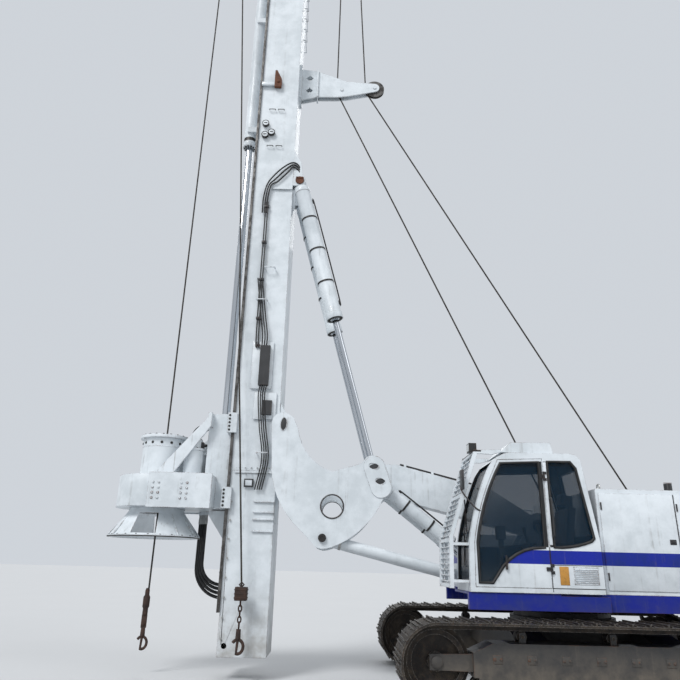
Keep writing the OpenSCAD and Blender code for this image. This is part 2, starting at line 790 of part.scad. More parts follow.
// Width of the flat neck behind an eye, and how far inside the eye it starts
neck_w = eye_w - 10;
eye_inset = 30;
boom_top = 330;

module boom() {
    color(paint) difference() {
        plate(-boom_half, boom_half) union() {
            translate(pin_c) circle(150);
            translate(boom_rear) circle(185);
            polygon([pin_c + [-10, -150], pin_c + [60, boom_top], pin_c + [300, boom_top],
                [slew_x - 1000, 2810],
                boom_rear + [-80, 165], boom_rear + [0, -180]]);
        }
        bar_y(pin_c, pin_r + fit, -boom_half - 1, boom_half + 1);
    }
    color(steel) bar_y(boom_rear, pin_r, -girder_out, girder_out);
}

module link_eye(p, r, y, w, bore) {
    difference() {
        bar_y(p, r, y - w / 2, y + w / 2);
        bar_y(p, bore, y - w / 2 - 1, y + w / 2 + 1);
    }
}

strut_len = norm(link_vec);

module lower_struts() {
    color(paint) both() difference() {
        union() {
            along(pin_d, strut_rear, strut_y) {
                bar_x(strut_r, strut_eye_r, strut_len - strut_neck);
                block([eye_inset, -neck_w / 2, -55], [strut_len - eye_inset, neck_w / 2, 55]);
            }
            bar_y(pin_d, strut_eye_r, strut_y - eye_w / 2, strut_y + eye_w / 2);
            bar_y(strut_rear, strut_pin_r + 30, strut_y - eye_w / 2, strut_y + eye_w / 2);
        }
        bar_y(pin_d, pin_r - 14, strut_y - 100, strut_y + 100);
        bar_y(strut_rear, strut_pin_r + fit, strut_y - 100, strut_y + 100);
    }
}

round_hole = pin_a + [820, -1280];
cross_low = pin_a + [250, -840];
cross_rear = pin_a + [1080, -1150];

module rocker_outline() {
    polygon(concat(
        arc3(pin_a + [-194, 30], pin_a + [-100, 178], pin_a + [30, 190], 4),
        [pin_a + [160, 110]],
        arc3(pin_a + [245, -90], pin_a + [447, -519], pin_a + [810, -745], 8),
        [pin_b + [-200, 45]],
        arc3(pin_b + [-120, 150], pin_b + [30, 170], pin_b + [160, 80], 5),
        [pin_c + [170, 10]],
        arc3(pin_c + [40, -280], pin_d + [686, 224], pin_d + [150, -130], 9),
        arc3(pin_d + [90, -148], pin_d + [0, -160], pin_d + [-100, -130], 4),
        arc3(pin_d + [-343, 110], pin_a + [-30, -1180], pin_a + [-160, -560], 8)));
}

// The pad round the two rear pins, with its oval eyes
module rocker_pad() {
    difference() {
        hull() {
            translate(pin_b) circle(165, $fn = 32);
            translate(pin_c + [10, -90]) circle(165, $fn = 32);
        }
        for (p = [pin_b, pin_c]) translate(p) rotate(-15) scale([1, 0.55]) circle(85);
    }
}

module rocker_plates() {
    pad_t = 14;
    color(paint) both() {
        difference() {
            plate(rocker_in, rocker_w / 2) rocker_outline();
            bar_y(round_hole, 175, rocker_in - 1, rocker_w / 2 + 1);
        }
        ring_y(round_hole, 195, 175, rocker_in - 20, rocker_in + 1);
        plate(rocker_w / 2 - 1, rocker_w / 2 + pad_t) rocker_pad();
    }
    color(paint) {
        bar_y(cross_low, 100, -rocker_in - 1, rocker_in + 1);
        bar_y(cross_rear, 95, -rocker_in - 1, rocker_in + 1);
    }
    color(steel) {
        bar_y(pin_c, pin_r, -rocker_in - 1, rocker_in + 1);
        both() bar_y(pin_d, pin_r - 15, strut_y - 55, rocker_w / 2 + 20);
        both() bar_y(pin_a, pin_a_r, ear_y - 10, rocker_in + 1);
    }
}

ear_y = 300;
ear_t = 80;
pin_a_r = 65;

boom_cyl_len = norm(boom_foot - pin_c);
boom_barrel_len = 1450;
mast_cyl_len = norm(pin_b - mast_cyl_top);

// A cylinder's barrel along local X, with a flat neck from its eye and its gland at the far end
module barrel(r, rod, length, eye) {
    start = eye + 35;
    difference() {
        union() {
            bar_x(r, start, length - 90);
            bar_x(r + 10, length - 110, length);
            bar_x(r + 6, start + 60, start + 110);
            block([eye_inset, -neck_w / 2, -r * 0.6], [start + 1, neck_w / 2, r * 0.6]);
        }
        bar_x(rod + 0.5, start + 60, length + 1);
    }
}

module boom_barrels() {
    color(paint) for (s = [-1, 1]) difference() {
        union() {
            along(pin_c, boom_foot, s * boom_cyl_y) barrel(boom_barrel_r, boom_rod_r, boom_barrel_len, 105);
            bar_y(pin_c, 105, s * boom_cyl_y - eye_w / 2, s * boom_cyl_y + eye_w / 2);
        }
        bar_y(pin_c, pin_r + fit, s * boom_cyl_y - 120, s * boom_cyl_y + 120);
    }
}

module boom_rods() {
    color(chrome) for (s = [-1, 1]) {
        along(pin_c, boom_foot, s * boom_cyl_y) bar_x(boom_rod_r, boom_barrel_len - 780 + 530,
            boom_cyl_len - 60);
        bar_y(boom_foot, 85, s * boom_cyl_y - eye_w / 2, s * boom_cyl_y + eye_w / 2);
        scale([1, s, 1]) bar_y(boom_foot, 45, girder_out + 5, foot_stub);
    }
}

mast_eye_w = 96;

module mast_barrels() {
    color(paint) for (s = [-1, 1]) difference() {
        union() {
            along(mast_cyl_top, pin_b, s * mast_cyl_y) barrel(mast_barrel_r, mast_rod_r, mast_barrel_len,
                100);
            bar_y(mast_cyl_top, 100, s * mast_cyl_y - mast_eye_w / 2, s * mast_cyl_y + mast_eye_w / 2);
        }
        bar_y(mast_cyl_top, 50 + fit, s * mast_cyl_y - 160, s * mast_cyl_y + 160);
    }
}

module mast_rods() {
    color(chrome) for (s = [-1, 1]) {
        along(mast_cyl_top, pin_b, s * mast_cyl_y) bar_x(mast_rod_r, mast_barrel_len - 240,
            mast_cyl_len - 60);
        bar_y(pin_b, 105, s * mast_cyl_y - mast_eye_w / 2, s * mast_cyl_y + mast_eye_w / 2);
        scale([1, s, 1]) bar_y(pin_b, 60, mast_cyl_y - mast_eye_w / 2 - 40, rocker_in - 5);
    }
}

// Mast

hook_t = 40;
hook_depth = slide_gap + hook_t;

module mast_section(z0, z1, flange_low, flange_high) {
    box_tube(mast_front_x, mast_rear_x, mast_w, mast_wall, z0, z1);
    if (flange_low) mast_flange(z0);
    if (flange_high) mast_flange(z1 - 40);
}

// A bolted flange, which starts behind the hooks of the carriage
module mast_flange(z) {
    difference() {
        block([mast_front_x + hook_depth + 14, -mast_w / 2 - 20, z], [mast_rear_x + 24, mast_w / 2 + 20,
            z + 40]);
        block([mast_front_x, -mast_w / 2 + mast_wall, z - 1], [mast_rear_x - mast_wall,
            mast_w / 2 - mast_wall, z + 41]);
    }
}

module mast_foot() {
    rib_x = mast_mid_x + 35;
    color(paint) {
        difference() {
            union() {
                mast_section(mast_foot_z, seam_low_z, false, true);
                block([mast_front_x + 1, -mast_w / 2 + 1, mast_foot_z], [mast_rear_x - 1, mast_w / 2 - 1,
                    mast_foot_z + 25]);
            }
            bar_y([mast_front_x + 100, mast_foot_z + 150], 40, -mast_w, mast_w);
        }
        both() for (z = [2060, 2240, 2350, 2510])
            block([rib_x, mast_w / 2 - 1, z], [mast_rear_x, mast_w / 2 + 32, z + 22]);
        // Wedge that stops the carriage, in front of the mast
        plate(-200, 200) polygon([[mast_front_x + 1, 1840], [mast_front_x + 1, 2380],
            [mast_front_x - 330, 2380],
            [mast_front_x - 330, 2300]]);
    }
}

module mast_body() {
    color(paint) {
        mast_section(seam_low_z + seat, seam_high_z, true, true);
        // Ears of the mast's pivot
        both() difference() {
            plate(ear_y, ear_y + ear_t) union() {
                translate(pin_a) circle(140);
                polygon([[mast_rear_x - 1, pin_a.y + 420], pin_a + [60, 126], pin_a + [60, -126],
                    [mast_rear_x - 1, pin_a.y - 420]]);
            }
            bar_y(pin_a, pin_a_r + fit, ear_y - 1, ear_y + ear_t + 1);
        }
    }
}

module mast_top() {
    color(paint) mast_section(seam_high_z + seat, mast_top_z, true, false);
}

rail_y = mast_w / 2 + 40;
rail_low_z = 900;
rail_high_z = 14500;

module mast_rails() {
    color(steel) both() difference() {
        block([mast_front_x - rail_t, rail_y - rail_w, rail_low_z], [mast_front_x, rail_y, rail_high_z]);
        block([mast_front_x - rail_t + 25, rail_y - rail_w - 1, rail_low_z - 1],
            [mast_front_x + 1, rail_y - rail_w + 20, rail_high_z + 1]);
    }
}

front_sheave_c = [drill_x + head_sheave_r, mast_top_z + 560];
rear_sheave_c = [mast_rear_x + 540, mast_top_z + 560];
head_pin_r = 45;
sheave_w = 70;
aux_y = -250;

module sheave(c, r, y) {
    difference() {
        union() {
            bar_y(c, r - 30, y - sheave_w / 2, y + sheave_w / 2);
            bar_y(c, r, y - sheave_w / 2, y - sheave_w / 2 + 20);
            bar_y(c, r, y + sheave_w / 2 - 20, y + sheave_w / 2);
        }
        bar_y(c, head_pin_r + fit, y - sheave_w, y + sheave_w);
    }
}

module front_sheaves() {
    color(steel) for (y = [0, aux_y]) sheave(front_sheave_c, head_sheave_r, y);
}

module rear_sheaves() {
    color(steel) for (y = [0, aux_y]) sheave(rear_sheave_c, head_sheave_r, y);
}

module mast_head() {
    cheeks = [aux_y - 75, aux_y + 55, -75, 55];
    color(paint) {
        difference() {
            for (y = cheeks) plate(y, y + 20) polygon([
                [mast_front_x, mast_top_z + seat], [mast_rear_x, mast_top_z + seat],
                rear_sheave_c + [90, -120], rear_sheave_c + [90, 90], front_sheave_c + [-90, 90],
                front_sheave_c + [-90, -120]]);
            for (c = [front_sheave_c, rear_sheave_c]) bar_y(c, head_pin_r - 1, aux_y - 200, 200);
        }
        // Base frame and spacers between the cheeks
        block([mast_front_x, aux_y - 75, mast_top_z + seat], [mast_rear_x, 75, mast_top_z + 60]);
        block([mast_mid_x - 200, aux_y - 75, mast_top_z + 400], [mast_mid_x + 200, 75, mast_top_z + 440]);
    }
    color(steel) for (c = [front_sheave_c, rear_sheave_c]) bar_y(c, head_pin_r, aux_y - 90, 90);
}

module mast_bracket() {
    low = mast_cyl_top.y - 110;
    color(paint) {
        both() for (y = [mast_cyl_y - mast_eye_w / 2 - 35, mast_cyl_y + mast_eye_w / 2 + 5]) plate(y,
            y + 30) polygon(
            concat([[mast_rear_x, low + 770], [mast_rear_x, low]],
            arc3(mast_cyl_top + [40, -115], mast_cyl_top + [118, 20], mast_cyl_top + [60, 110], 6),
            [[mast_rear_x + 150, low + 500]]));
        block([mast_rear_x, -mast_cyl_y - 84, low + 250], [mast_rear_x + 30, mast_cyl_y + 84, low + 770]);
    }
    color(steel) both() bar_y(mast_cyl_top, 50, mast_cyl_y - mast_eye_w / 2 - 35,
        mast_cyl_y + mast_eye_w / 2 + 35);
}

jib_tip = [mast_rear_x + 1570, 11060];
jib_mid = [mast_rear_x + 880, 10990];
jib_sheave_r = 200;
jib_roller_r = 110;
jib_cheek_y = sheave_w / 2 + 8;

module jib_arm() {
    root = [10700, 11500];
    color(paint) {
        both() difference() {
            plate(jib_cheek_y, jib_cheek_y + 24) polygon(concat(
                [[mast_rear_x + 40, root[1]], [mast_rear_x + 40, root[0]], [mast_rear_x + 370,
                    root[0] + 90]],
                [jib_mid + [-100, -190], jib_mid + [90, -170]],
                arc3(jib_tip + [0, -100], jib_tip + [100, 0], jib_tip + [0, 110], 6),
                [jib_mid + [100, 220], [mast_rear_x + 370, root[1] - 40]]));
            for (z = root) translate([mast_rear_x + 200, 0,
                (root[0] + root[1]) / 2 + (z < 11000 ? -150 : 170)])
                rotate([0, 45, 0]) cube([110, 400, 110], center = true);
            for (p = [jib_tip, jib_mid]) bar_y(p, 34, 0, 200);
        }
        block([mast_rear_x, -180, root[0] - 20], [mast_rear_x + 41, 180, root[1] + 20]);
        block([mast_rear_x + 355, -110, root[0] + 70], [mast_rear_x + 385, 110, root[1] - 30]);
        block(concat([mast_rear_x + 380], [-jib_cheek_y - 1], [root[0] + 200]),
            [mast_rear_x + 600, jib_cheek_y + 1, root[0] + 230]);
    }
    color(steel) for (p = [jib_tip, jib_mid]) bar_y(p, 35, -jib_cheek_y - 40, jib_cheek_y + 40);
}

module jib_wheel(c, r) {
    color(dark) difference() {
        union() {
            bar_y(c, r - 24, -sheave_w / 2, sheave_w / 2);
            for (y = [-sheave_w / 2, sheave_w / 2 - 18]) bar_y(c, r, y, y + 18);
        }
        bar_y(c, 35 + fit, -sheave_w, sheave_w);
    }
}

module jib_sheave() {
    jib_wheel(jib_tip, jib_sheave_r);
}

module jib_roller() {
    jib_wheel(jib_mid, jib_roller_r);
}

// The clamp that holds the hoses' upper ends, and its gland stubs
module hose_clamp() {
    half = mast_w / 2;
    first = hose_back(0).x;
    last = hose_back(3).x;
    block([first - 50, half, hose_clamp_z + 40], [last + 50, hose_side_y + 60, hose_clamp_z + 70]);
    for (k = [0:3]) translate([hose_back(k).x, hose_side_y, hose_clamp_z]) cylinder(r = 30, h = 41,
        $fn = 24);
}

module valve_boxes() {
    face = -mast_w / 2;
    color(dark) {
        block([mast_mid_x - 20, face - 110, 4410], [mast_mid_x + 150, face, 5110]);
        block([mast_mid_x + 70, face - 90, 3910], [mast_mid_x + 230, face, 4150]);
        hose_clamp();
    }
    // Round sheave covers on the side of the mast
    color(steel) for (p = [[-235, 9780], [-235, 9510], [-110, 9570]])
        bar_y([mast_mid_x + p.x, p.y], 55, face - 40, face);
}

module crowd_barrel() {
    top = rail_high_z + 800;
    color(paint) translate([crowd_x, 0, 0]) {
        difference() {
            union() {
                translate([0, 0, crowd_collar_z]) cylinder(r = crowd_barrel_r, h = top - crowd_collar_z);
                translate([0, 0, crowd_collar_z]) cylinder(r = crowd_barrel_r + 16, h = 120);
            }
            translate([0, 0, crowd_collar_z - 1]) cylinder(r = crowd_rod_r + 0.5,
                h = top - crowd_collar_z - 150);
        }
    }
    // Brackets that hold the barrel to the mast
    color(paint) for (z = [crowd_collar_z + 300, top - 2600, top - 250]) difference() {
        block([crowd_x - 40, -150, z], [mast_front_x, 150, z + 120]);
        translate([crowd_x, 0, z - 1]) cylinder(r = crowd_barrel_r - 1, h = 122);
    }
}

module crowd_rod() {
    color(chrome) translate([crowd_x, 0, carriage_top_z + seat]) cylinder(r = crowd_rod_r,
        h = crowd_collar_z + 350 - carriage_top_z - seat);
}

// Rotary head

col_x0 = mast_front_x - 430;
col_x1 = mast_front_x - rail_t - slide_gap;
col_half = rail_y + slide_gap + hook_t;
wing_back = 240;

module carriage() {
    shoe_h = 330;
    side_in = rail_y - rail_w - 20;
    hook_x = mast_front_x + slide_gap;
    color(paint) {
        // Column: back plate, side plates, top and bottom
        block([col_x1 - 40, -side_in - 1, case_z], [col_x1, side_in + 1, carriage_top_z]);
        both() plate(side_in, side_in + 40) polygon([[col_x0, case_z], [col_x1, case_z],
            [col_x1, carriage_top_z], [col_x0, carriage_top_z]]);
        for (z = [case_z, case_z + 700, carriage_top_z - 60])
            block([col_x0, -side_in - 1, z], [col_x1 - 1, side_in + 1, z + 60]);
        // Guide shoes round the rails, high and low
        both() for (z = [case_z, carriage_top_z - shoe_h]) {
            block([col_x1 - 60, side_in + 1, z], [col_x1, col_half, z + shoe_h]);
            block([col_x1 - 1, rail_y + slide_gap, z], [hook_x + hook_t, col_half, z + shoe_h]);
            block([hook_x, mast_w / 2 + slide_gap, z], [hook_x + hook_t, col_half, z + shoe_h]);
        }
        // Wings beside the column, behind the gear case
        both() block([col_x0, side_in + 39, case_z], [mast_front_x - wing_back, case_r - 1 - seat,
            case_top_z]);
        // Diagonal arms down to the gear case, and the blocks that carry them
        both() plate(col_half - hook_t, col_half) polygon([[col_x0 + 60, carriage_top_z - 10],
            [col_x0 + 60, carriage_top_z - 230], [drill_x + 290, case_top_z + seat],
            [drill_x + 60, case_top_z + seat], [drill_x + 60, case_top_z + 80]]);
        both() block([col_x0, side_in + 39, carriage_top_z - 240], [col_x0 + 60, col_half, carriage_top_z]);
    }
}

hose_gland_r = 36;
hose_gland_h = 60;

module rotary_case() {
    can_h = 690;
    can_r = 350;
    color(paint) difference() {
        union() {
            translate([drill_x, 0, case_z]) cylinder(r = case_r, h = case_h);
            block([drill_x, -case_r, case_z], [col_x0, case_r, case_top_z]);
            both() block([drill_x, case_r - 1, case_z - 20], [mast_front_x - wing_back, case_r + 40,
                case_top_z + 20]);
            translate([drill_x, 0, case_top_z - 1]) cylinder(r = can_r, h = can_h);
            translate([drill_x, 0, case_top_z + can_h - 61]) cylinder(r = can_r + 50, h = 50);
        }
        translate([drill_x, 0, case_z - 1]) cylinder(r = sleeve_r + slide_gap, h = 2000);
    }
    // Glands of the hanging hoses
    color(steel) for (k = [0:3]) translate([hose_front(k).x, hose_front(k).y, case_z - hose_gland_h])
        cylinder(r = hose_gland_r, h = hose_gland_h + 1, $fn = 24);
}

module rotary_motors() {
    color(paint) both() translate([drill_x + 570, 270, case_top_z]) {
        cylinder(r = 155, h = 420);
        translate([0, 0, 419]) cylinder(r = 170, h = 40);
        translate([0, 0, 458]) cylinder(r = 120, h = 150);
    }
}

module drive_sleeve() {
    color(steel) translate([drill_x, 0, case_z - 50]) difference() {
        cylinder(r = sleeve_r, h = case_h + 740);
        translate([0, 0, -1]) cylinder(r = sleeve_bore_r, h = case_h + 742);
    }
}

// How much wider than the sleeve's bore the bell's floor is cut
bore_relief = 3;

module bell() {
    neck_r = 440;
    wall = 26;
    z0 = case_z - bell_h - 50;
    color(paint) translate([drill_x, 0, 0]) difference() {
        union() {
            translate([0, 0, case_z - 50]) cylinder(r = neck_r, h = 50 - seat);
            translate([0, 0, z0]) cylinder(r1 = bell_r - 10, r2 = neck_r, h = bell_h + 1);
            translate([0, 0, z0]) cylinder(r = bell_r, h = 30);
        }
        translate([0, 0, case_z - 51]) cylinder(r = sleeve_r + fit, h = 60);
        // Way through for the kelly bar
        translate([0, 0, z0]) cylinder(r = sleeve_bore_r + bore_relief, h = bell_h + 50);
        translate([0, 0, z0 - 1]) cylinder(r1 = bell_r - 10 - wall, r2 = neck_r - wall, h = bell_h - 20);
        // Windows to both sides, above the rim
        plate(-bell_r, bell_r) polygon([[-190, z0 + 50], [190, z0 + 50], [150, case_z - 90], [-150,
            case_z - 90]]);
    }
}

// Hanging hoses, each a U from a gland under the gear case to a clamp on the side of the mast

hose_r = 26;
hose_bend_z = 1600;
hose_clamp_z = 6900;
hose_side_y = 580;

// Plan of a hose's two legs
function hose_front(k) = [drill_x + 750 - 40 * k, 300 + 50 * k];
function hose_back(k) = [mast_front_x + 150 + 62 * k, hose_side_y];

module hose(k) {
    a = hose_front(k);
    b = hose_back(k);
    c = (a + b) / 2;
    half = (b - a) / 2;
    side = [-half.y, half.x, 0] / norm(half);
    bend = [for (t = [0:15:180]) [c.x - half.x * cos(t), c.y - half.y * cos(t),
        hose_bend_z - 25 * k - norm(half) * sin(t)]];
    color(dark) sweep_tube(concat([[a.x, a.y, case_z - hose_gland_h]], bend, [[b.x, b.y, hose_clamp_z]]),
        side, hose_r, 10);
}

// A tube along a path that lies in one plane, whose normal is side
module sweep_tube(path, side, r, sides) {
    n = len(path);
    rings = [for (i = [0:n - 1]) let(
        d = path[min(i + 1, n - 1)] - path[max(i - 1, 0)],
        v = cross(d / norm(d), side))
        [for (k = [0:sides - 1]) path[i] + r * (side * cos(360 * k / sides) + v * sin(360 * k / sides))]];
    pts = [for (ring = rings, p = ring) p];
    faces = concat(
        [[for (k = [0:sides - 1]) k]],
        [for (i = [0:n - 2], k = [0:sides - 1]) let(a = i * sides + k, b = i * sides + (k + 1) % sides)
            [a, a + sides, b + sides, b]],
        [[for (k = [sides - 1:-1:0]) (n - 1) * sides + k]]);
    polyhedron(pts, faces, convexity = 8);
}

module hose_1() {
    hose(0);
}

module hose_2() {
    hose(1);
}

module hose_3() {
    hose(2);
}

module hose_4() {
    hose(3);
}

carbody();
slew_ring();
track_frame_left();
track_frame_right();
track_left();
track_right();
sprockets();
idlers();
track_rollers();
upper_frame();
girders();
winch_stands();
main_drum();
aux_drum();
cab_shell();
cab_floor();
cab_glass();
cab_guard();
cab_seat();
cab_door();
door_glass();
left_house();
right_house();
engine();
counterweight();
boom();
lower_struts();
rocker_plates();
boom_barrels();
boom_rods();
mast_barrels();
mast_rods();
mast_foot();
mast_body();
mast_top();
mast_rails();
mast_head();
front_sheaves();
rear_sheaves();
mast_bracket();
jib_arm();
jib_sheave();
jib_roller();
valve_boxes();
crowd_barrel();
crowd_rod();
carriage();
rotary_case();
rotary_motors();
drive_sleeve();
bell();
hose_1();
hose_2();
hose_3();
hose_4();
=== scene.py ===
# %% [markdown]
# # A rotary piling rig and its looks
# The machine comes from a solid model, so its sizes and joints are right but its surfaces are bare. This
# script adds paint, dirt, glass, hoses, ropes, bolts and the small fittings that a maker bolts on.
# Everything is in the model's own frame: X runs to the rear, Y to the right side, Z up, in metres.

# %% Load the frame
import math

import bmesh
import bpy
from mathutils import Matrix, Vector

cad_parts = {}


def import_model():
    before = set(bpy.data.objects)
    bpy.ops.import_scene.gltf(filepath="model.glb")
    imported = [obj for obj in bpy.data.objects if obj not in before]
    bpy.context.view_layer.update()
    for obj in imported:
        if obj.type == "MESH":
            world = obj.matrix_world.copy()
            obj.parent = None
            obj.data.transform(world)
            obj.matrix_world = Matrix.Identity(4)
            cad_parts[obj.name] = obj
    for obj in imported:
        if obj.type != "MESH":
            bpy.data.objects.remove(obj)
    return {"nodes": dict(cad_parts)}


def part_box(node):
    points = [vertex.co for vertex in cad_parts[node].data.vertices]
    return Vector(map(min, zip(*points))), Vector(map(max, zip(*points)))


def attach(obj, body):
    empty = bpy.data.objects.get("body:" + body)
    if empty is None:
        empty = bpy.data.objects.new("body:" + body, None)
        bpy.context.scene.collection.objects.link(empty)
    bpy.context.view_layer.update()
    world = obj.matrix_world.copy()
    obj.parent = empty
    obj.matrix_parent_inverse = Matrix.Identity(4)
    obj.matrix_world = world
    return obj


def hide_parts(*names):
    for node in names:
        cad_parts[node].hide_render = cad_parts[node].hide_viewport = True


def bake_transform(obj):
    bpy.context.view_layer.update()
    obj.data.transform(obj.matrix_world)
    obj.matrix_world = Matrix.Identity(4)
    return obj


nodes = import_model()["nodes"]
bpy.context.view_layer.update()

# %% [markdown]
# The main places are read from the solids, so that a fitting stays on its part when a size changes. A wheel
# or a drum gives its centre and radius, and a box gives its two corners.

# %% Places taken from the solids
def centre(node):
    low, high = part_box(node)
    return (low + high) / 2


def radius(node):
    low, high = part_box(node)
    return (high.z - low.z) / 2


rails_low, rails_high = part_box("mast_rails")
mast_front = rails_high.x
mast_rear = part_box("mast_bracket")[0].x
mast_mid = (mast_front + mast_rear) / 2
mast_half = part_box("mast_body")[1].y
case_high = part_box("rotary_case")[1]
drill = centre("bell").x
slew = centre("slew_ring").x
case_z, case_top = 2.40, 2.89
head = centre("front_sheaves")
tail_wheel = centre("rear_sheaves")
sheave_r = radius("front_sheaves")
roller = centre("jib_roller")
tip = centre("jib_sheave")
main_drum = centre("main_drum")
aux_drum = centre("aux_drum")
deck_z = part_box("upper_frame")[1].z
house_low, house_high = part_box("left_house")
cab_y, cab_right = -1.57, -0.65
cab_mid = (cab_y + cab_right) / 2
print("drill", round(drill, 3), "slew", round(slew, 3), "mast", round(mast_front, 3), round(mast_rear, 3))

# %% [markdown]
# The camera stands where the photographer stood: at eye height beside the machine, tilted up, with a slight
# lean. Its lens is the one that makes the track, the cab and the mast the sizes they have in the picture.

# %% Camera
EYE = Vector((-1.98, -10.5, 1.6))
TILT_UP = math.radians(20)
LEAN = math.radians(1.4)
camera_data = bpy.data.cameras.new("camera")
camera_data.lens = 32.8
camera_data.sensor_width = 36
camera = bpy.data.objects.new("camera", camera_data)
bpy.context.scene.collection.objects.link(camera)
ahead = Vector((0, math.cos(TILT_UP), math.sin(TILT_UP)))
right = Vector((1, 0, 0))
above = right.cross(ahead)
lean_right = right * math.cos(LEAN) + above * math.sin(LEAN)
lean_above = above * math.cos(LEAN) - right * math.sin(LEAN)
camera.matrix_world = Matrix.Translation(EYE) @ Matrix((lean_right, lean_above, -ahead)).transposed().to_4x4()
bpy.context.scene.camera = camera
print("camera at", tuple(EYE))

# %% [markdown]
# Small shapes are collected in one mesh per fitting. Each is made by Blender's own mesh operators: cones for
# bars, cubes for blocks, a spin for turned parts, and a curve with a round section for pipes. A collected
# mesh costs one object, however many bolts it holds. Its places are measured from a middle of its own, such
# as the drill axis, and the finished mesh is moved there, so the numbers stay small and easy to compare.

# %% Directions, rows and angles
UP, DOWN, LEFT = (0, 0, 1), (0, 0, -1), (0, -1, 0)


def row(start, step, count):
    """Evenly spaced values."""
    return [start + step * i for i in range(count)]


def angles(count):
    """Evenly spread angles of a full turn, in radians."""
    return [math.tau * i / count for i in range(count)]

# %% A collector of shapes
SLIGHT_ANGLE = 0.6
MERGE_DISTANCE = 1e-5


class Shape:
    """A mesh that grows shape by shape; its places are measured from a middle."""

    def __init__(self, middle=(0, 0, 0)):
        self.bm = bmesh.new()
        self.middle = middle

    def soften(self, geometry, width):
        """Rounds the edges whose faces meet at more than a slight angle."""
        edges = {e for v in geometry for e in v.link_edges}
        bmesh.ops.bevel(self.bm, geom=[e for e in edges if e.calc_face_angle(0) > SLIGHT_ANGLE], offset=width,
                        segments=2, profile=0.5, affect="EDGES", material=-1)

    def rod(self, a, b, r, end_r=None, sides=16, edge=0):
        a, b = Vector(a), Vector(b)
        turn = (b - a).to_track_quat("Z", "Y").to_matrix().to_4x4()
        made = bmesh.ops.create_cone(
            self.bm, cap_ends=True, segments=sides, radius1=r, radius2=r if end_r is None else end_r,
            depth=(b - a).length, matrix=Matrix.Translation((a + b) / 2) @ turn)
        if edge:
            self.soften(made["verts"], edge)
        return self

    def box(self, a, b, edge=0.004, turn=None):
        """A block between two opposite corners."""
        a, b = Vector(a), Vector(b)
        size = Matrix.Diagonal([*map(abs, b - a), 1])
        place = Matrix.Translation((a + b) / 2) @ (turn or Matrix()) @ size
        made = bmesh.ops.create_cube(self.bm, size=1, matrix=place)
        if edge:
            self.soften(made["verts"], edge)
        return self

    def lathe(self, base, axis, profile, steps=24):
        """Turns a profile of (radius, height) points round an axis."""
        base, axis = Vector(base), Vector(axis).normalized()
        out = axis.orthogonal().normalized()
        line = [self.bm.verts.new(base + out * r + axis * h) for r, h in profile]
        edges = [self.bm.edges.new(pair) for pair in zip(line, line[1:])]
        bmesh.ops.spin(self.bm, geom=line + edges, cent=base, axis=axis, angle=math.tau, steps=steps,
                       use_merge=True)
        return self

    def band(self, base, axis, inner, outer, low, high, edge, steps):
        """A ring with slanted edges, between two heights on an axis."""
        profile = [(inner, low), (outer, low + edge), (outer, high - edge), (inner, high)]
        return self.lathe(base, axis, profile, steps)

    def plate(self, outline, y0, y1, edge):
        """A flat plate whose outline is (x, z) points, between two values of y."""
        face = self.bm.faces.new([self.bm.verts.new((x, y0, z)) for x, z in outline])
        made = bmesh.ops.extrude_face_region(self.bm, geom=[face])
        moved = [v for v in made["geom"] if isinstance(v, bmesh.types.BMVert)]
        bmesh.ops.translate(self.bm, verts=moved, vec=(0, y1 - y0, 0))
        if edge:
            self.soften(moved, edge)
        return self

    def bolt(self, at, axis, r):
        """A hexagon head on a washer."""
        at, axis = Vector(at), Vector(axis).normalized()
        self.rod(at - axis * r * 0.2, at + axis * r * 0.28, r * 1.45, sides=12)
        self.rod(at, at + axis * r * 0.95, r, r * 0.93, sides=6)
        return self

    def bolt_ring(self, middle, axis, ring_r, count, r, turn=0):
        """Bolts on a circle about an axis, all along it."""
        for place in ring_places(middle, axis, ring_r, count, turn):
            self.bolt(place, axis, r)
        return self

    def tube(self, path, r, sides=10, closed=False):
        """A round pipe along a path."""
        curve = bpy.data.curves.new("path", "CURVE")
        curve.dimensions = "3D"
        curve.bevel_depth = r
        curve.bevel_resolution = max(0, sides // 2 - 2)
        curve.use_fill_caps = not closed
        line = curve.splines.new("POLY")
        line.use_cyclic_u = closed
        line.points.add(len(path) - 1)
        for point, place in zip(line.points, path):
            point.co = (*place, 1)
        holder = bpy.data.objects.new("path", curve)
        mesh = bpy.data.meshes.new_from_object(holder)
        self.bm.from_mesh(mesh)
        bpy.data.objects.remove(holder)
        bpy.data.curves.remove(curve)
        bpy.data.meshes.remove(mesh)
        return self

    def piece(self, name, body, finish, smooth=38, slot=None):
        """Ends the mesh as an object that moves with a body. A body of None leaves that to the caller.

        The slot argument is not used.
        """
        bmesh.ops.remove_doubles(self.bm, verts=self.bm.verts, dist=MERGE_DISTANCE)
        bmesh.ops.translate(self.bm, verts=self.bm.verts, vec=self.middle)
        bmesh.ops.recalc_face_normals(self.bm, faces=self.bm.faces)
        mesh = bpy.data.meshes.new(name)
        self.bm.to_mesh(mesh)
        self.bm.free()
        mesh.shade_smooth()
        mesh.set_sharp_from_angle(angle=math.radians(smooth))
        mesh.materials.append(finish.material)
        made = bpy.data.objects.new(name, mesh)
        bpy.context.scene.collection.objects.link(made)
        if body:
            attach(made, body)
        print(name, len(mesh.polygons), "faces")
        return made


def ring_places(middle, axis, r, count, turn=0):
    """Places on a circle about an axis through middle."""
    axis = Vector(axis).normalized()
    u = axis.orthogonal().normalized()
    v = axis.cross(u)
    return [Vector(middle) + u * r * math.cos(a) + v * r * math.sin(a)
            for a in [math.tau * (i + turn) / count for i in range(count)]]


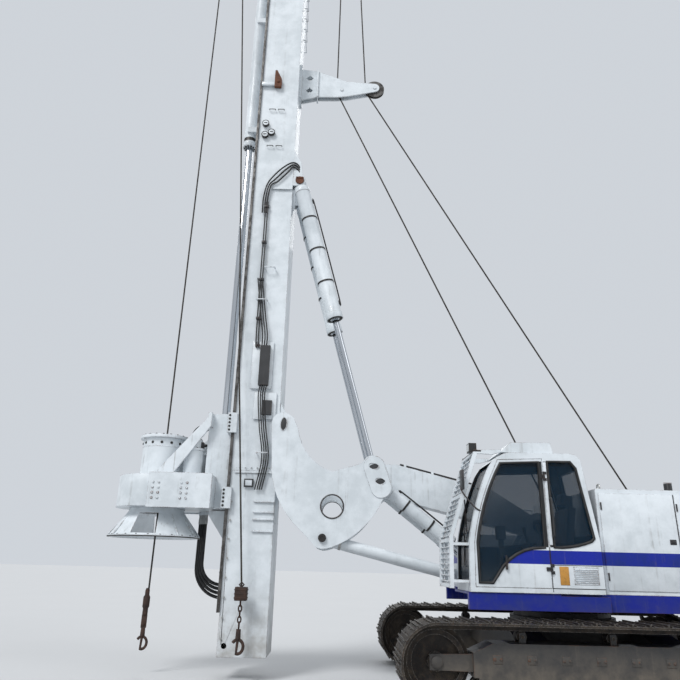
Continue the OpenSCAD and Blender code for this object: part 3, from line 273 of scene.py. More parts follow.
def rounded(points, steps=6):
    """A smooth line through a few points."""
    pts = [Vector(p) for p in points]
    pts = [2 * pts[0] - pts[1], *pts, 2 * pts[-1] - pts[-2]]
    line = []
    for a, b, c, d in zip(pts, pts[1:], pts[2:], pts[3:]):
        for t in [i / steps for i in range(steps)]:
            line.append(((2 * b) + (c - a) * t + (2 * a - 5 * b + 4 * c - d) * t ** 2
                         + (3 * b - a - 3 * c + d) * t ** 3) / 2)
    return [*line, pts[-2]]

# %% [markdown]
# Finishes are built from a few nodes each. Arithmetic on textures is easier to read as a formula than as a
# row of boxes, so one small class lets a node's output be added, multiplied and compared like a number.

# %% Formulas for finishes
def operation(kind, swapped=False):
    """A method that adds a node for one sum; a kind that needs one value leaves the other unused."""
    def method(self, other=0.0):
        return self.maths(kind, other, self) if swapped else self.maths(kind, self, other)
    return method


class Sock:
    """The output of a node, used like a number."""

    def __init__(self, finish, socket):
        self.finish = finish
        self.socket = socket

    def maths(self, kind, *values, clamp=False):
        settings = {"operation": kind, "use_clamp": clamp}
        return self.finish.node("Math", settings, dict(enumerate(values)))

    __add__ = __radd__ = operation("ADD")
    __sub__ = operation("SUBTRACT")
    __rsub__ = operation("SUBTRACT", swapped=True)
    __mul__ = __rmul__ = operation("MULTIPLY")
    __gt__ = operation("GREATER_THAN")
    __lt__ = operation("LESS_THAN")
    most = operation("MAXIMUM")
    size = operation("ABSOLUTE")
    sine = operation("SINE")
    fraction = operation("FRACT")

    def clamped(self):
        return self.maths("ADD", self, 0.0, clamp=True)

    def step(self, start, end):
        """0 before start, 1 after end, smooth between them; start may be the larger."""
        values = {"Value": self, "From Min": start, "From Max": end}
        return self.finish.node("MapRange", {"interpolation_type": "SMOOTHSTEP"}, values)


class Finish:
    """One material that is built up from formulas, and the slot that it stands for."""

    made = {}

    def __init__(self, name, slot=None, **shader):
        self.material = bpy.data.materials.new(name)
        self.slot = slot
        Finish.made[name] = self.material
        self.material.use_nodes = True
        self.tree = self.material.node_tree
        self.shader = self.tree.nodes["Principled BSDF"]
        self.place = self.node("TexCoord", out="Object")
        split = self.node("SeparateXYZ", values={0: self.place}).socket.node
        self.x, self.y, self.z = [Sock(self, s) for s in split.outputs]
        for name, value in shader.items():
            self.set(name.replace("_", " "), value)

    def node(self, kind, settings=None, values=None, out=0):
        made = self.tree.nodes.new("ShaderNode" + kind)
        for name, value in (settings or {}).items():
            setattr(made, name, value)
        for name, value in (values or {}).items():
            if isinstance(value, Sock):
                self.tree.links.new(value.socket, made.inputs[name])
            else:
                made.inputs[name].default_value = value
        return Sock(self, made.outputs[out])

    def mix(self, factor, a, b):
        return self.node("Mix", {"data_type": "RGBA"}, {0: factor, 6: a, 7: b}, out=2)

    def noise(self, scale, detail=4.0, rough=0.6, stretch=(1, 1, 1)):
        place = self.node("Mapping", values={"Vector": self.place, "Scale": stretch})
        values = {"Vector": place, "Scale": scale, "Detail": detail, "Roughness": rough}
        return self.node("TexNoise", values=values)

    def edges(self, width):
        """1 on the sharp edges of the shape, 0 on its flats."""
        soft = self.node("Bevel", {"samples": 4}, {"Radius": width})
        flat = self.node("NewGeometry", out="Normal")
        alike = self.node("VectorMath", {"operation": "DOT_PRODUCT"}, {0: soft, 1: flat}, out="Value")
        return alike.step(0.995, 0.88)

    def set(self, name, value):
        if isinstance(value, Sock):
            self.tree.links.new(value.socket, self.shader.inputs[name])
        else:
            self.shader.inputs[name].default_value = value
        return self

    def bump(self, height, depth, strength=1.0, soft=0.0):
        """Relief on the surface; a soft value also rounds the look of the sharp edges by that much."""
        values = {"Height": height, "Distance": depth, "Strength": strength}
        if soft:
            values["Normal"] = self.node("Bevel", {"samples": 4}, {"Radius": soft})
        return self.set("Normal", self.node("Bump", values=values))

# %% [markdown]
# Paint on a working machine is never one colour. The recipe is the same for every painted part: a slow
# change of tone, thin dirty runs down the sides, dust that thickens towards the ground, small rust spots,
# and bare dark metal where an edge has been knocked. A stripe is a band between two heights.

# %% Paint
# WHITE and WHITE_WORN are a white paint with a cool blue cast, which is painted shade from a blue sky.
WHITE = (0.69, 0.735, 0.77, 1)
WHITE_WORN = (0.55, 0.595, 0.625, 1)
BLUE = (0.001, 0.012, 0.260, 1)
BLUE_WORN = (0.002, 0.018, 0.200, 1)
DUST = (0.23, 0.19, 0.145, 1)
RUST = (0.14, 0.052, 0.022, 1)
BARE = (0.085, 0.078, 0.072, 1)
GREASE = (0.022, 0.018, 0.015, 1)
STRIPE_BLUE = (0.001, 0.013, 0.30, 1)
DARK_GREY = (0.020, 0.021, 0.023, 1)
STRIPE_LOW, STRIPE_HIGH = 1.68, 1.86


def weathered(f, colour, worn, rough=0.36, dirty=1.0, dust_top=1.5, chips=1.0):
    """Adds age to a painted finish: worn patches, runs, dust below dust_top, rust spots, bare edges."""
    tone = f.noise(0.9, 3.0)
    patch = f.noise(5.5, 5.0, 0.62)
    fine = f.noise(38.0, 4.0, 0.65)
    runs = f.noise(1.0, 3.0, 0.6, (16, 16, 0.55))
    colour = f.mix((tone * 0.6 + patch * 0.5).step(0.42, 0.72), colour, worn)
    run = runs.step(0.56, 0.78) * patch.step(0.35, 0.65) * (0.42 * dirty)
    colour = f.mix(run, colour, (0.15, 0.125, 0.10, 1))
    low = f.z.step(dust_top, 0.15)
    dust = (low * (patch.step(0.25, 0.75) * 0.75 + 0.25) + fine.step(0.55, 0.8) * 0.10) * dirty
    dust = dust.clamped() * 0.72
    colour = f.mix(dust, colour, DUST)
    spot = fine.step(0.70, 0.76) * patch.step(0.48, 0.60) * chips
    edge = f.edges(0.012) * (fine * 0.7 + patch * 0.6).step(0.56, 0.72) * (0.85 * chips)
    worn_off = spot.most(edge)
    colour = f.mix(worn_off, colour, f.mix(patch.step(0.42, 0.58), BARE, RUST))
    f.set("Base Color", colour)
    f.set("Roughness", (rough + patch * 0.16 + dust * 0.35 + worn_off * 0.2).clamped())
    f.set("Coat Weight", (0.12 - dust * 0.2 - worn_off * 0.1).clamped())
    f.bump(patch * 0.5 + fine * 0.12 - worn_off * 0.5, 0.0022, 0.55, soft=0.006)
    return f


def white_paint(name, **age):
    return weathered(Finish(name, "white_paint"), WHITE, WHITE_WORN, **age)


def striped_paint(name, from_x, dark_part):
    """White with the blue stripe that runs along both sides and round the tail.

    dark_part is a function that marks what isn't painted: the cab's lining, or the exhaust pipe.
    """
    f = Finish(name, "white_paint", IOR=1.38)
    normal = f.node("TexCoord", out="Normal")
    upright = f.node("SeparateXYZ", values={0: normal}, out=2).size() < 0.5
    band = (f.z > STRIPE_LOW) * (f.z < STRIPE_HIGH) * (f.x > from_x) * upright
    dark = dark_part(f, normal)
    colour = f.mix(dark, f.mix(band, WHITE, STRIPE_BLUE), DARK_GREY)
    return weathered(f, colour, f.mix(dark, f.mix(band, WHITE_WORN, BLUE_WORN), DARK_GREY))


def lining(f, normal):
    """1 on the cab's inner faces, the pillar between the side panes, and the door's handle and hinges."""
    middle = (0.80, cab_mid, 2.20)
    way = f.node("VectorMath", {"operation": "SUBTRACT"}, {0: f.place, 1: middle})
    facing = f.node("VectorMath", {"operation": "DOT_PRODUCT"}, {0: way, 1: normal}, out="Value")
    within = (f.y > cab_y + 0.05) * (f.y < cab_right - 0.05) * (facing < 0)
    pillar = (f.x > slew - 0.68) * (f.x < slew - 0.53) * (f.z > 1.90) * (f.z < 3.07) * (f.y < cab_y + 0.08)
    beside_seam = (f.x - (slew - 0.61)).size() > 0.011
    return within.most(f.y < cab_y - 0.006).most(pillar * beside_seam)


def exhaust(f, _):
    """1 on the exhaust pipe, the only part above the roof."""
    return f.z > house_high.z + 0.03


mast_white = white_paint("mast_white", dirty=0.85)
link_white = white_paint("link_white", dirty=1.0)
head_white = white_paint("head_white", dirty=1.35, chips=1.2)
house_white = striped_paint("house_white", -9.0, exhaust)
striped_paint("cab_white", 0.24, lining)
f = Finish("guard_white")
lamp_part = (f.z > 3.195) * (f.x < 0.10)
weathered(f, f.mix(lamp_part, WHITE, (0.012, 0.012, 0.013, 1)),
          f.mix(lamp_part, WHITE_WORN, (0.02, 0.02, 0.02, 1)))
weathered(Finish("blue_paint", IOR=1.3), BLUE, BLUE_WORN, rough=0.32, dirty=0.8, chips=0.8)
black = weathered(Finish("black_paint", "black_paint"), (0.018, 0.019, 0.021, 1),
                  (0.0288, 0.0304, 0.0336, 1), rough=0.42, chips=0.5)
frame_dark = weathered(Finish("frame_dark", "track_steel"), DARK_GREY, (0.040, 0.038, 0.036, 1),
                       rough=0.5, dirty=0.8, dust_top=0.8)
print("paints made")

# %% [markdown]
# Metal that is not painted: tracks polished by the ground with dried mud between the shoes, greased sheaves
# and rails, the bright chrome of piston rods, and wire rope, whose strands are a fine diagonal bump.

# %% Metals
def track_steel(name):
    f = Finish(name, "track_steel", Metallic=0.55)
    patch = f.noise(7.0, 6.0, 0.65)
    fine = f.noise(55.0, 4.0, 0.7)
    colour = f.mix(patch.step(0.35, 0.65), (0.020, 0.018, 0.017, 1), (0.060, 0.048, 0.038, 1))
    colour = f.mix(fine.step(0.55, 0.75) * 0.6, colour, RUST)
    mud = (patch * 0.7 + fine * 0.5).step(0.60, 0.78) * f.z.step(1.2, 0.1)
    colour = f.mix(mud * 0.8, colour, (0.13, 0.105, 0.078, 1))
    polish = f.edges(0.010) * fine.step(0.35, 0.6)
    f.set("Base Color", f.mix(polish * 0.8, colour, (0.30, 0.29, 0.27, 1)))
    f.set("Roughness", (0.62 + mud * 0.3 - polish * 0.3).clamped())
    f.bump(patch * 0.6 + fine * 0.3 + mud * 0.5, 0.006, 0.7)
    return f


def bare_steel(name, slot, colour, rough, oily):
    f = Finish(name, slot, Metallic=0.9)
    patch = f.noise(9.0, 5.0, 0.6)
    fine = f.noise(80.0, 3.0, 0.6)
    grease = (patch * 0.8 + fine * 0.3).step(0.62 - 0.2 * oily, 0.80 - 0.2 * oily)
    f.set("Base Color", f.mix(grease * oily, colour, GREASE))
    f.set("Roughness", (rough + fine * 0.18 - grease * 0.12 * oily).clamped())
    f.set("Metallic", 0.9 - grease * 0.6 * oily)
    f.bump(fine * 0.3 + grease * 0.6, 0.0015, 0.6)
    return f


def chrome_steel(name):
    f = Finish(name, "rod_chrome", Metallic=1.0)
    wipe = f.noise(3.0, 3.0, 0.5, (30, 30, 1))
    f.set("Base Color", f.mix(wipe.step(0.5, 0.8) * 0.35, (0.56, 0.59, 0.63, 1), (0.26, 0.24, 0.20, 1)))
    f.set("Roughness", wipe * 0.16 + 0.06)
    return f


def wire_rope(name):
    f = Finish(name, "greased_steel", Metallic=0.7)
    strands = ((f.z * 420 + f.x * 260 + f.y * 260).sine() + 1) * 0.5
    grease = f.noise(6.0, 3.0)
    colour = f.mix(strands, (0.012, 0.011, 0.010, 1), (0.11, 0.10, 0.09, 1))
    f.set("Base Color", f.mix(grease.step(0.4, 0.7) * 0.7, colour, GREASE))
    f.set("Roughness", 0.35 + grease * 0.3)
    f.bump(strands, 0.003, 0.8)
    return f


def rusty(name, light, dark):
    f = Finish(name, "worn_steel")
    patch = f.noise(12.0, 6.0, 0.7)
    fine = f.noise(70.0, 4.0, 0.7)
    colour = f.mix(patch.step(0.3, 0.7), dark, light)
    f.set("Base Color", f.mix(fine.step(0.45, 0.7) * 0.5, colour, (0.030, 0.018, 0.014, 1)))
    f.set("Roughness", 0.75 + fine * 0.2)
    f.bump(patch + fine * 0.6, 0.004, 0.8)
    return f


tracks = track_steel("track_steel")
bare_steel("greased_steel", "greased_steel", (0.16, 0.155, 0.15, 1), 0.34, 0.8)
dark_steel = bare_steel("dark_steel", "greased_steel", (0.055, 0.053, 0.052, 1), 0.42, 0.5)
bare_steel("worn_steel", "worn_steel", (0.36, 0.34, 0.32, 1), 0.28, 0.35)
zinc = bare_steel("zinc_bolts", "worn_steel", (0.42, 0.42, 0.41, 1), 0.36, 0.25)
chrome = chrome_steel("rod_chrome")
rope_steel = wire_rope("wire_rope")
rust = rusty("rust", (0.17, 0.062, 0.028, 1), (0.07, 0.024, 0.014, 1))
dark_rust = rusty("dark_rust", (0.060, 0.030, 0.020, 1), (0.018, 0.013, 0.012, 1))
print("metals made")

# %% [markdown]
# Soft materials and glass. Rubber is near black with grey scuffs. The panes are tinted and show the seat, so
# they are a thin see-through sheet rather than a thick block of real glass, which would bend the view.

# %% Rubber, glass and trim
def rubber(name, slot, colour, rough):
    f = Finish(name, slot)
    patch = f.noise(10.0, 4.0)
    fine = f.noise(120.0, 3.0)
    f.set("Base Color", f.mix(patch.step(0.45, 0.8) * 0.5, colour, (0.07, 0.066, 0.06, 1)))
    f.set("Roughness", rough + patch * 0.2)
    f.bump(fine * 0.5 + patch * 0.3, 0.0012, 0.6)
    return f


def tinted_glass(name):
    f = Finish(name, "tinted_glass", IOR=1.4)
    film = f.noise(4.0, 4.0, 0.6)
    low = f.z.step(1.75, 1.42) * 0.25
    dust = (film.step(0.50, 0.85) * 0.10 + low).clamped()
    f.set("Base Color", f.mix(dust, (0.002, 0.020, 0.042, 1), (0.09, 0.10, 0.10, 1)))
    f.set("Alpha", dust * 0.3 + 0.42)
    f.set("Roughness", dust * 0.3 + 0.03)
    return f


def fabric(name):
    f = Finish(name, "cab_trim", Roughness=0.85, Sheen_Weight=0.3)
    weave = (f.x * 900).sine() * (f.z * 900 + f.y * 900).sine()
    worn = f.noise(6.0, 4.0)
    f.set("Base Color", f.mix(worn.step(0.4, 0.75), (0.030, 0.034, 0.042, 1), (0.075, 0.075, 0.078, 1)))
    f.bump(weave * 0.4 + worn, 0.0015, 0.6)
    return f


def lens(name, colour):
    f = Finish(name, "tinted_glass", Roughness=0.12, Coat_Weight=0.6)
    ribs = (f.z * 380).sine()
    f.set("Base Color", f.mix(ribs * 0.25 + 0.4, colour, tuple(0.55 * c for c in colour[:3]) + (1,)))
    f.bump(ribs, 0.002, 0.6)
    return f


def gauge_plate(name, colour):
    f = Finish(name, "white_paint")
    grime = f.noise(24.0, 4.0)
    f.set("Base Color", f.mix(grime.step(0.45, 0.8) * 0.55, colour, (0.12, 0.07, 0.03, 1)))
    f.set("Roughness", 0.35 + grime * 0.3)
    return f


hose_rubber = rubber("hose_rubber", "hose_rubber", (0.012, 0.012, 0.013, 1), 0.62)
seal = rubber("window_seal", "hose_rubber", (0.010, 0.010, 0.011, 1), 0.5)
glass = tinted_glass("tinted_glass")
trim = rubber("cab_trim", "cab_trim", (0.030, 0.031, 0.034, 1), 0.6)
seat_fabric = fabric("seat_fabric")
clear_lens = lens("lamp_lens", (0.62, 0.65, 0.66, 1))
red_lens = lens("red_lens", (0.42, 0.012, 0.008, 1))
orange_plate = gauge_plate("orange_plate", (0.50, 0.24, 0.04, 1))
print("soft materials made")

# %% [markdown]
# Every solid now gets its finish. The solids also come with knife-sharp edges, which no welded plate has, so
# a narrow bevel is cut along them. The panes and the many-toothed tracks keep their own edges.

# %% Finish and soften the solids
FINISHES = {
    "cab_white": ["cab_shell", "cab_door"],
    "house_white": ["left_house", "right_house", "counterweight"],
    "mast_white": ["mast_foot", "mast_body", "mast_top", "mast_head", "mast_bracket", "jib_arm",
                   "crowd_barrel"],
    "link_white": ["boom", "lower_struts", "rocker_plates", "boom_barrels", "mast_barrels", "girders",
                   "winch_stands"],
    "guard_white": ["cab_guard"],
    "head_white": ["carriage", "rotary_case", "rotary_motors", "bell"],
    "frame_dark": ["carbody", "track_frame_left", "track_frame_right", "slew_ring"],
    "blue_paint": ["upper_frame"],
    "black_paint": ["valve_boxes"],
    "track_steel": ["track_left", "track_right", "sprockets", "idlers", "track_rollers"],
    "greased_steel": ["main_drum", "aux_drum", "mast_rails", "front_sheaves", "rear_sheaves", "jib_sheave",
                      "jib_roller"],
    "dark_steel": ["engine"],
    "worn_steel": ["drive_sleeve"],
    "rod_chrome": ["boom_rods", "mast_rods", "crowd_rod"],
    "tinted_glass": ["cab_glass", "door_glass"],
    "cab_trim": ["cab_seat", "cab_floor"],
    "hose_rubber": ["hose_1", "hose_2", "hose_3", "hose_4"],
}
SHARP = {"cab_glass", "door_glass", "track_left", "track_right", "hose_1", "hose_2", "hose_3", "hose_4",
         "slew_ring", "front_sheaves", "rear_sheaves", "jib_sheave", "jib_roller"}
for finish, names in FINISHES.items():
    for name in names:
        mesh = nodes[name].data
        mesh.materials.clear()
        mesh.materials.append(Finish.made[finish])
for name in sorted(set(nodes) - SHARP):
    weld_points = nodes[name].modifiers.new("weld", "WELD")
    weld_points.merge_threshold = 0.0001
    bevel = nodes[name].modifiers.new("bevel", "BEVEL")
    bevel.width = 0.005
    bevel.segments = 2
    bevel.limit_method = "ANGLE"
    bevel.angle_limit = math.radians(38)
missing = set(nodes) - {n for names in FINISHES.values() for n in names}
print("without a finish:", sorted(missing))

# %% [markdown]
# Four hoses hang from the gear case in a deep loop and rise to a clamp on the mast, so that the rotary head
# can travel. A loop is two straight legs and a half circle.

# %% Hanging hoses
HOSE_R = 0.026
HOSE_COUNT = 4
CLAMP_Z = 6.90
GLAND_Z = case_z - 0.06


def hose_route(k):
    front = Vector((drill + 0.750 - 0.040 * k, 0.300 + 0.050 * k, 0))
    back = Vector((mast_front + 0.150 + 0.062 * k, 0.580, 0))
    middle, half = (front + back) / 2, (back - front) / 2
    bend_z = 1.600 - 0.025 * k
    bend = [middle - half * math.cos(t) + Vector((0, 0, bend_z - half.length * math.sin(t)))
            for t in [math.radians(6 * i) for i in range(31)]]
    start, end = front + Vector((0, 0, GLAND_Z)), back + Vector((0, 0, CLAMP_Z))
    drop = [start.lerp(bend[0], i / 6) for i in range(6)]
    rise = [bend[-1].lerp(end, (i + 1) / 24) for i in range(24)]
    return [*drop, *bend, *rise]


for k in range(HOSE_COUNT):
    route = hose_route(k)
    hose = Shape().tube(route, HOSE_R, 14).piece(f"hose_tube_{k + 1}", None, hose_rubber)
    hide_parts(f"hose_{k + 1}")
    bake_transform(hose)
    length = sum((b - a).length for a, b in zip(route, route[1:]))
    print("hose", k + 1, "is", round(length, 3), "m long")

# %% [markdown]
# Crimped metal sleeves hold each hose's ends. They are turned parts, so each is one profile spun round. A
# plain cylinder would lack the collar where the sleeve is pressed on.

# %% Hose ends
for name, body, end, collar, length in (("hose_ends_high", "mast", -1, 0.07, 0.16),
                                        ("hose_ends_low", "carriage", 0, 0.08, 0.14)):
    ends = Shape()
    for k in range(HOSE_COUNT):
        ends.lathe(hose_route(k)[end] - Vector((0, 0, length)), UP, [
            (0.001, 0), (0.030, 0), (0.033, 0.01), (0.033, collar), (0.029, collar + 0.01), (0.029, length),
            (0.001, length)], 16)
    ends.piece(name, body, zinc)

# %% [markdown]
# The ropes are taut, so they are straight runs between the wheels that guide them, with an arc round each
# wheel. The main rope goes up behind the mast, over the head and down the drill axis to its hook. The second
# rope goes to the side of the mast. Low down each rope is cut in three, because it spans three joints.

# %% Rope helpers
ROPE_R = 0.014


def tangent_arc(middle, r, y, start, end, steps=12):
    """Points on a wheel's rim between two angles in degrees, seen from the left side."""
    turn = [math.radians(start + (end - start) * i / steps) for i in range(steps + 1)]
    return [Vector((middle.x + r * math.cos(t), y, middle.z + r * math.sin(t))) for t in turn]


def ride_chain(name, a, b, cuts):
    """A straight rope from a on the upper works to b on the mast, in three joined stretches."""
    pairs = [("upper", "boom"), ("boom", "rocker"), ("rocker", "mast")]
    for i, (start, end, pair) in enumerate(zip(cuts, cuts[1:], pairs)):
        p, q = a.lerp(b, start), a.lerp(b, end)
        line = [p.lerp(q, k / 12) for k in range(13)]
        made = Shape().tube(line, ROPE_R).piece(f"{name}_{i + 1}", None, rope_steel)
        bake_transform(made)

# %% Ropes
rope_out = sheave_r - 0.030 + ROPE_R
roller_out = radius("jib_roller") - 0.024 + ROPE_R
tip_out = radius("jib_sheave") - 0.024 + ROPE_R
AUX_ROPE_Y = -0.25
weight_at = Vector((mast_front + 0.33, -0.60, 0))
main_low = Vector((main_drum.x - 0.20, 0, main_drum.z - 0.24))
aux_low = Vector((aux_drum.x - 0.13, 0, aux_drum.z + 0.20))
main_turn = tangent_arc(roller, roller_out, 0, 180, 205, 4)
aux_turn = tangent_arc(tip, tip_out, 0, 180, 208, 4)
mast_ropes = Shape()
mast_ropes.tube([*reversed(main_turn), *tangent_arc(tail_wheel, rope_out, 0, 0, 90),
                 *tangent_arc(head, rope_out, 0, 90, 180), (head.x - rope_out, 0, 1.18)], ROPE_R)
mast_ropes.tube([*reversed(aux_turn), *tangent_arc(tail_wheel, rope_out, AUX_ROPE_Y, 0, 90),
                 *tangent_arc(head, rope_out, AUX_ROPE_Y, 90, 170), weight_at + Vector((-0.30, 0, 4.64)),
                 weight_at + Vector((0, 0, 1.27))], ROPE_R)
mast_ropes.piece("mast_ropes", "mast", rope_steel)
ride_chain("main_rope", main_low, main_turn[-1], (0, 0.10, 0.13, 1))
ride_chain("aux_rope", aux_low, aux_turn[-1], (0, 0.12, 0.15, 1))

# %% [markdown]
# On the drums the rope lies in neat turns. Seen from outside that is a row of rounded ridges, which one
# spun profile gives with far fewer faces than a real coil.

# %% Rope on the drums
WOUND_WIDTH = 0.46
WOUND_TURNS = 17


def winding(name, middle, r):
    pitch = WOUND_WIDTH / WOUND_TURNS
    rim = r + ROPE_R * 1.8
    profile = [(r - 0.01, 0)]
    for i in range(WOUND_TURNS):
        for t in [math.pi * (k + 0.5) / 5 for k in range(5)]:
            profile.append((rim + pitch * 0.5 * math.sin(t), pitch * (i + 0.5 - 0.5 * math.cos(t))))
    profile.append((r - 0.01, WOUND_WIDTH))
    shape = Shape(middle).lathe((0, -WOUND_WIDTH / 2, 0), (0, 1, 0), profile, 48)
    shape.piece(name + "_winding", name + "_drum", rope_steel, smooth=60)


winding("main", (main_drum.x, 0, main_drum.z), 0.30)
winding("aux", (aux_drum.x, 0, aux_drum.z), 0.22)

# %% [markdown]
# The main rope ends in a swivel and a forged hook a little above the ground. Beside the mast the second rope
# carries a rusty box of weights with a shackle and a short chain under it. A hook is a shank and a bar bent
# along part of a circle. The chain's links are small closed loops, every other one turned by a quarter.

# %% Hook and weight
def hook(shape, z, size):
    """A shank and a bent hook that hangs from a height z."""
    shape.rod((0, 0, z), (0, 0, z - 0.9 * size), 0.22 * size, 0.26 * size, 14, 0.02 * size)
    curve = [(0.55 * size * math.sin(t), 0, z - 1.55 * size - 0.62 * size * math.cos(t))
             for t in [math.radians(a) for a in range(-10, 250, 13)]]
    shape.tube([(0, 0, z - 0.7 * size), *curve], 0.15 * size, 12)


swivel = Shape((drill, 0, 0))
swivel.lathe((0, 0, 1.20), DOWN, [(0.001, 0), (0.022, 0), (0.034, 0.03), (0.034, 0.10), (0.052, 0.13),
                                  (0.052, 0.27), (0.040, 0.29), (0.040, 0.38), (0.001, 0.39)])
swivel.box((-0.040, -0.022, 0.63), (0.040, 0.022, 0.82), 0.008)
swivel.rod((0, -0.045, 0.69), (0, 0.045, 0.69), 0.018, sides=14, edge=0.003)
hook(swivel, 0.64, 0.14)
swivel.piece("rope_swivel", "mast", dark_rust)
weight = Shape(weight_at)
weight.box((-0.09, -0.07, 1.08), (0.09, 0.07, 1.27), 0.012)
for z in (1.12, 1.175, 1.23):
    weight.box((-0.096, -0.076, z - 0.008), (0.096, 0.076, z + 0.008), 0.003)
weight.tube([(0, 0, 1.27), (-0.035, 0, 1.30), (0, 0, 1.335), (0.035, 0, 1.30), (0, 0, 1.27)], 0.012)
for i, z in enumerate(row(1.05, -0.075, 5)):
    link = [(0.024 * math.cos(t), 0.045 * math.sin(t)) for t in angles(14)]
    weight.tube([(0, w, z + h) if i % 2 == 0 else (w, 0, z + h) for w, h in link], 0.011, 8, closed=True)
hook(weight, 0.70, 0.15)
weight.piece("hanging_weight", "mast", dark_rust)

# %% [markdown]
# The mast is a welded box, bolted together at two seams, and its guide rails are bolted on. Bolts could be
# cut out of the plates, but six-sided heads that stand on them show as much and leave the solid alone.

# %% Mast seams and small bolts
seam_bolts = Shape((mast_front, 0, 0))
for s in (-1, 1):
    for z in (2.96, 14.86):
        for x in row(0.14, 0.095, 7):
            seam_bolts.bolt((x, s * (mast_half + 0.011), z), DOWN, 0.010)
            seam_bolts.bolt((x, s * (mast_half + 0.011), z + 0.08), UP, 0.010)
    for z in row(1.1, 0.36, 38):
        seam_bolts.bolt((rails_low.x - mast_front, s * (rails_high.y - 0.055), z), (-1, 0, 0), 0.013)
for z in row(0.55, 0.28, 8):
    seam_bolts.bolt((0.05, -mast_half, z), LEFT, 0.011)
seam_bolts.piece("mast_bolts", "mast", zinc)

# %% [markdown]
# Pipes run down the mast's near side in clamps to the valve boxes, and three hoses cross in arcs to the mast
# cylinders. Each is a round section led along a few points. The corners are rounded first, because no pipe
# bends sharply.

# %% Mast pipes and hoses
ON_MAST = (mast_mid, -mast_half, 0)
reach = mast_rear - mast_mid
pipes, clamps, lines = Shape(ON_MAST), Shape(ON_MAST), Shape(ON_MAST)
for x in (-0.115, -0.075):
    pipes.tube(rounded([(x, -0.03, 7.98), (x, -0.03, 5.35), (x + 0.04, -0.05, 5.12)]), 0.013)
for z in row(5.6, 0.75, 4):
    clamps.box((-0.14, -0.055, z), (-0.05, 0, z + 0.05), 0.006)
    clamps.bolt((-0.095, -0.055, z + 0.025), LEFT, 0.009)
for i in range(3):
    x, drop = 0.04 * i, 0.05 * i
    lines.tube(rounded([(x - 0.17, -0.03, 7.75), (x - 0.17, -0.03, 8.05), (x - 0.12, -0.05, 8.33),
                        (drop - 0.02, -0.05, 8.52 - drop), (drop + 0.17, -0.05, 8.74 - drop),
                        (0.36, -0.04, 8.86 - drop), (reach + 0.12, 0, 8.76 - drop),
                        (reach + 0.10, 0.05, 8.45 - drop)]), 0.014)
for x in row(0.02, 0.035, 4):
    lines.tube(rounded([(x, -0.06, 4.43), (x - 0.02, -0.075, 4.2), (x + 0.03, -0.06, 3.7),
                        (x + 0.10, -0.04, 3.2), (x + 0.02, -0.03, 2.7)]), 0.010, 8)
for x in row(0, 0.04, 3):
    lines.tube(rounded([(x, -0.06, 5.10), (x, -0.07, 5.32), (x - 0.06, -0.035, 5.7), (x - 0.16, -0.03, 6.4)]),
               0.011, 8)
pipes.piece("mast_pipes", "mast", black)
clamps.piece("pipe_clamps", "mast", black)
lines.piece("mast_hoses", "mast", hose_rubber)

# %% [markdown]
# Small welded and bolted parts on the plates: stirrup rungs and flat handles, round caps with a slot, the
# framed gauge above the foot, a gusset plate at the cylinder's pin, and a rusty lug on a short arm. Blocks,
# bent bars and spun profiles are enough for them, as each is only about a hand wide.

# %% Mast small parts
rungs = Shape(ON_MAST)
for x, z in ((0.045, 6.60), (-0.055, 5.97), (0.12, 3.28)):
    rungs.tube(rounded([(x - 0.09, 0, z), (x - 0.09, -0.06, z), (x - 0.07, -0.085, z), (x + 0.07, -0.085, z),
                        (x + 0.09, -0.06, z), (x + 0.09, 0, z)], 4), 0.011, 8)
rungs.piece("mast_rungs", "mast", mast_white)
CAP_T = 0.040
caps, cap_faces = Shape(ON_MAST), Shape(ON_MAST)
for x, z in ((-0.235, 9.78), (-0.235, 9.51), (-0.110, 9.57)):
    at = (x, -CAP_T, z)
    caps.lathe(at, LEFT, [(0.068, -CAP_T), (0.068, 0.006), (0.062, 0.010), (0.055, 0.006), (0.054, 0)], 28)
    caps.box((x - 0.032, -CAP_T - 0.012, z - 0.008), (x + 0.032, -CAP_T - 0.002, z + 0.008), 0.003)
    cap_faces.lathe(at, LEFT, [(0.056, -0.001), (0.056, 0.004), (0.030, 0.006), (0.001, 0.006)], 28)
for z in (10.126, 9.254):
    for x in (-0.180, -0.005):
        caps.tube([(x, 0, z), (x, -0.03, z), (x + 0.115, -0.03, z), (x + 0.115, 0, z)], 0.008, 8)
caps.piece("mast_caps", "mast", dark_steel)
cap_faces.piece("cap_faces", "mast", mast_white)
gauge = Shape(ON_MAST).box((-0.14, -0.022, 2.74), (0.01, 0, 2.87), 0.006)
gauge.piece("gauge_box", "mast", black)
dial = Shape(ON_MAST).box((-0.118, -0.026, 2.762), (-0.012, -0.020, 2.848), 0.002)
dial.piece("gauge_face", "mast", mast_white)
plates = Shape(ON_MAST)
plates.box((-0.075, -0.014, 3.84), (0.30, 0.001, 4.30)).box((-0.16, -0.014, 4.36), (0.20, 0.001, 5.20))
plates.box((-reach - 0.01, -0.05, 10.71), (0.27 - reach, 0, 10.79), 0.006)
plates.plate([(-0.01, 8.28), (reach, 8.28), (reach, 8.88), (0.20, 8.76), (0.02, 8.50)], -0.014, 0, 0.004)
plates.piece("side_plates", "mast", mast_white)
lug = Shape((mast_front + 0.25, -mast_half, 0))
lug.plate([(0, 10.67), (0.14, 10.67), (0.14, 10.86), (0.04, 11.08), (0, 11.08)], -0.06, 0, 0.006)
lug.rod((0.07, -0.08, 10.80), (0.07, 0, 10.80), 0.034, sides=18, edge=0.004)
lug.piece("rusty_lug", "mast", rust)

# %% [markdown]
# Bolted covers close the hand holes in the mast's side plates, and a ladder of narrow rungs runs up its back.
# Both are guessed from the type: the photo ends below the mast's top. They come at even steps, so one loop
# makes each.

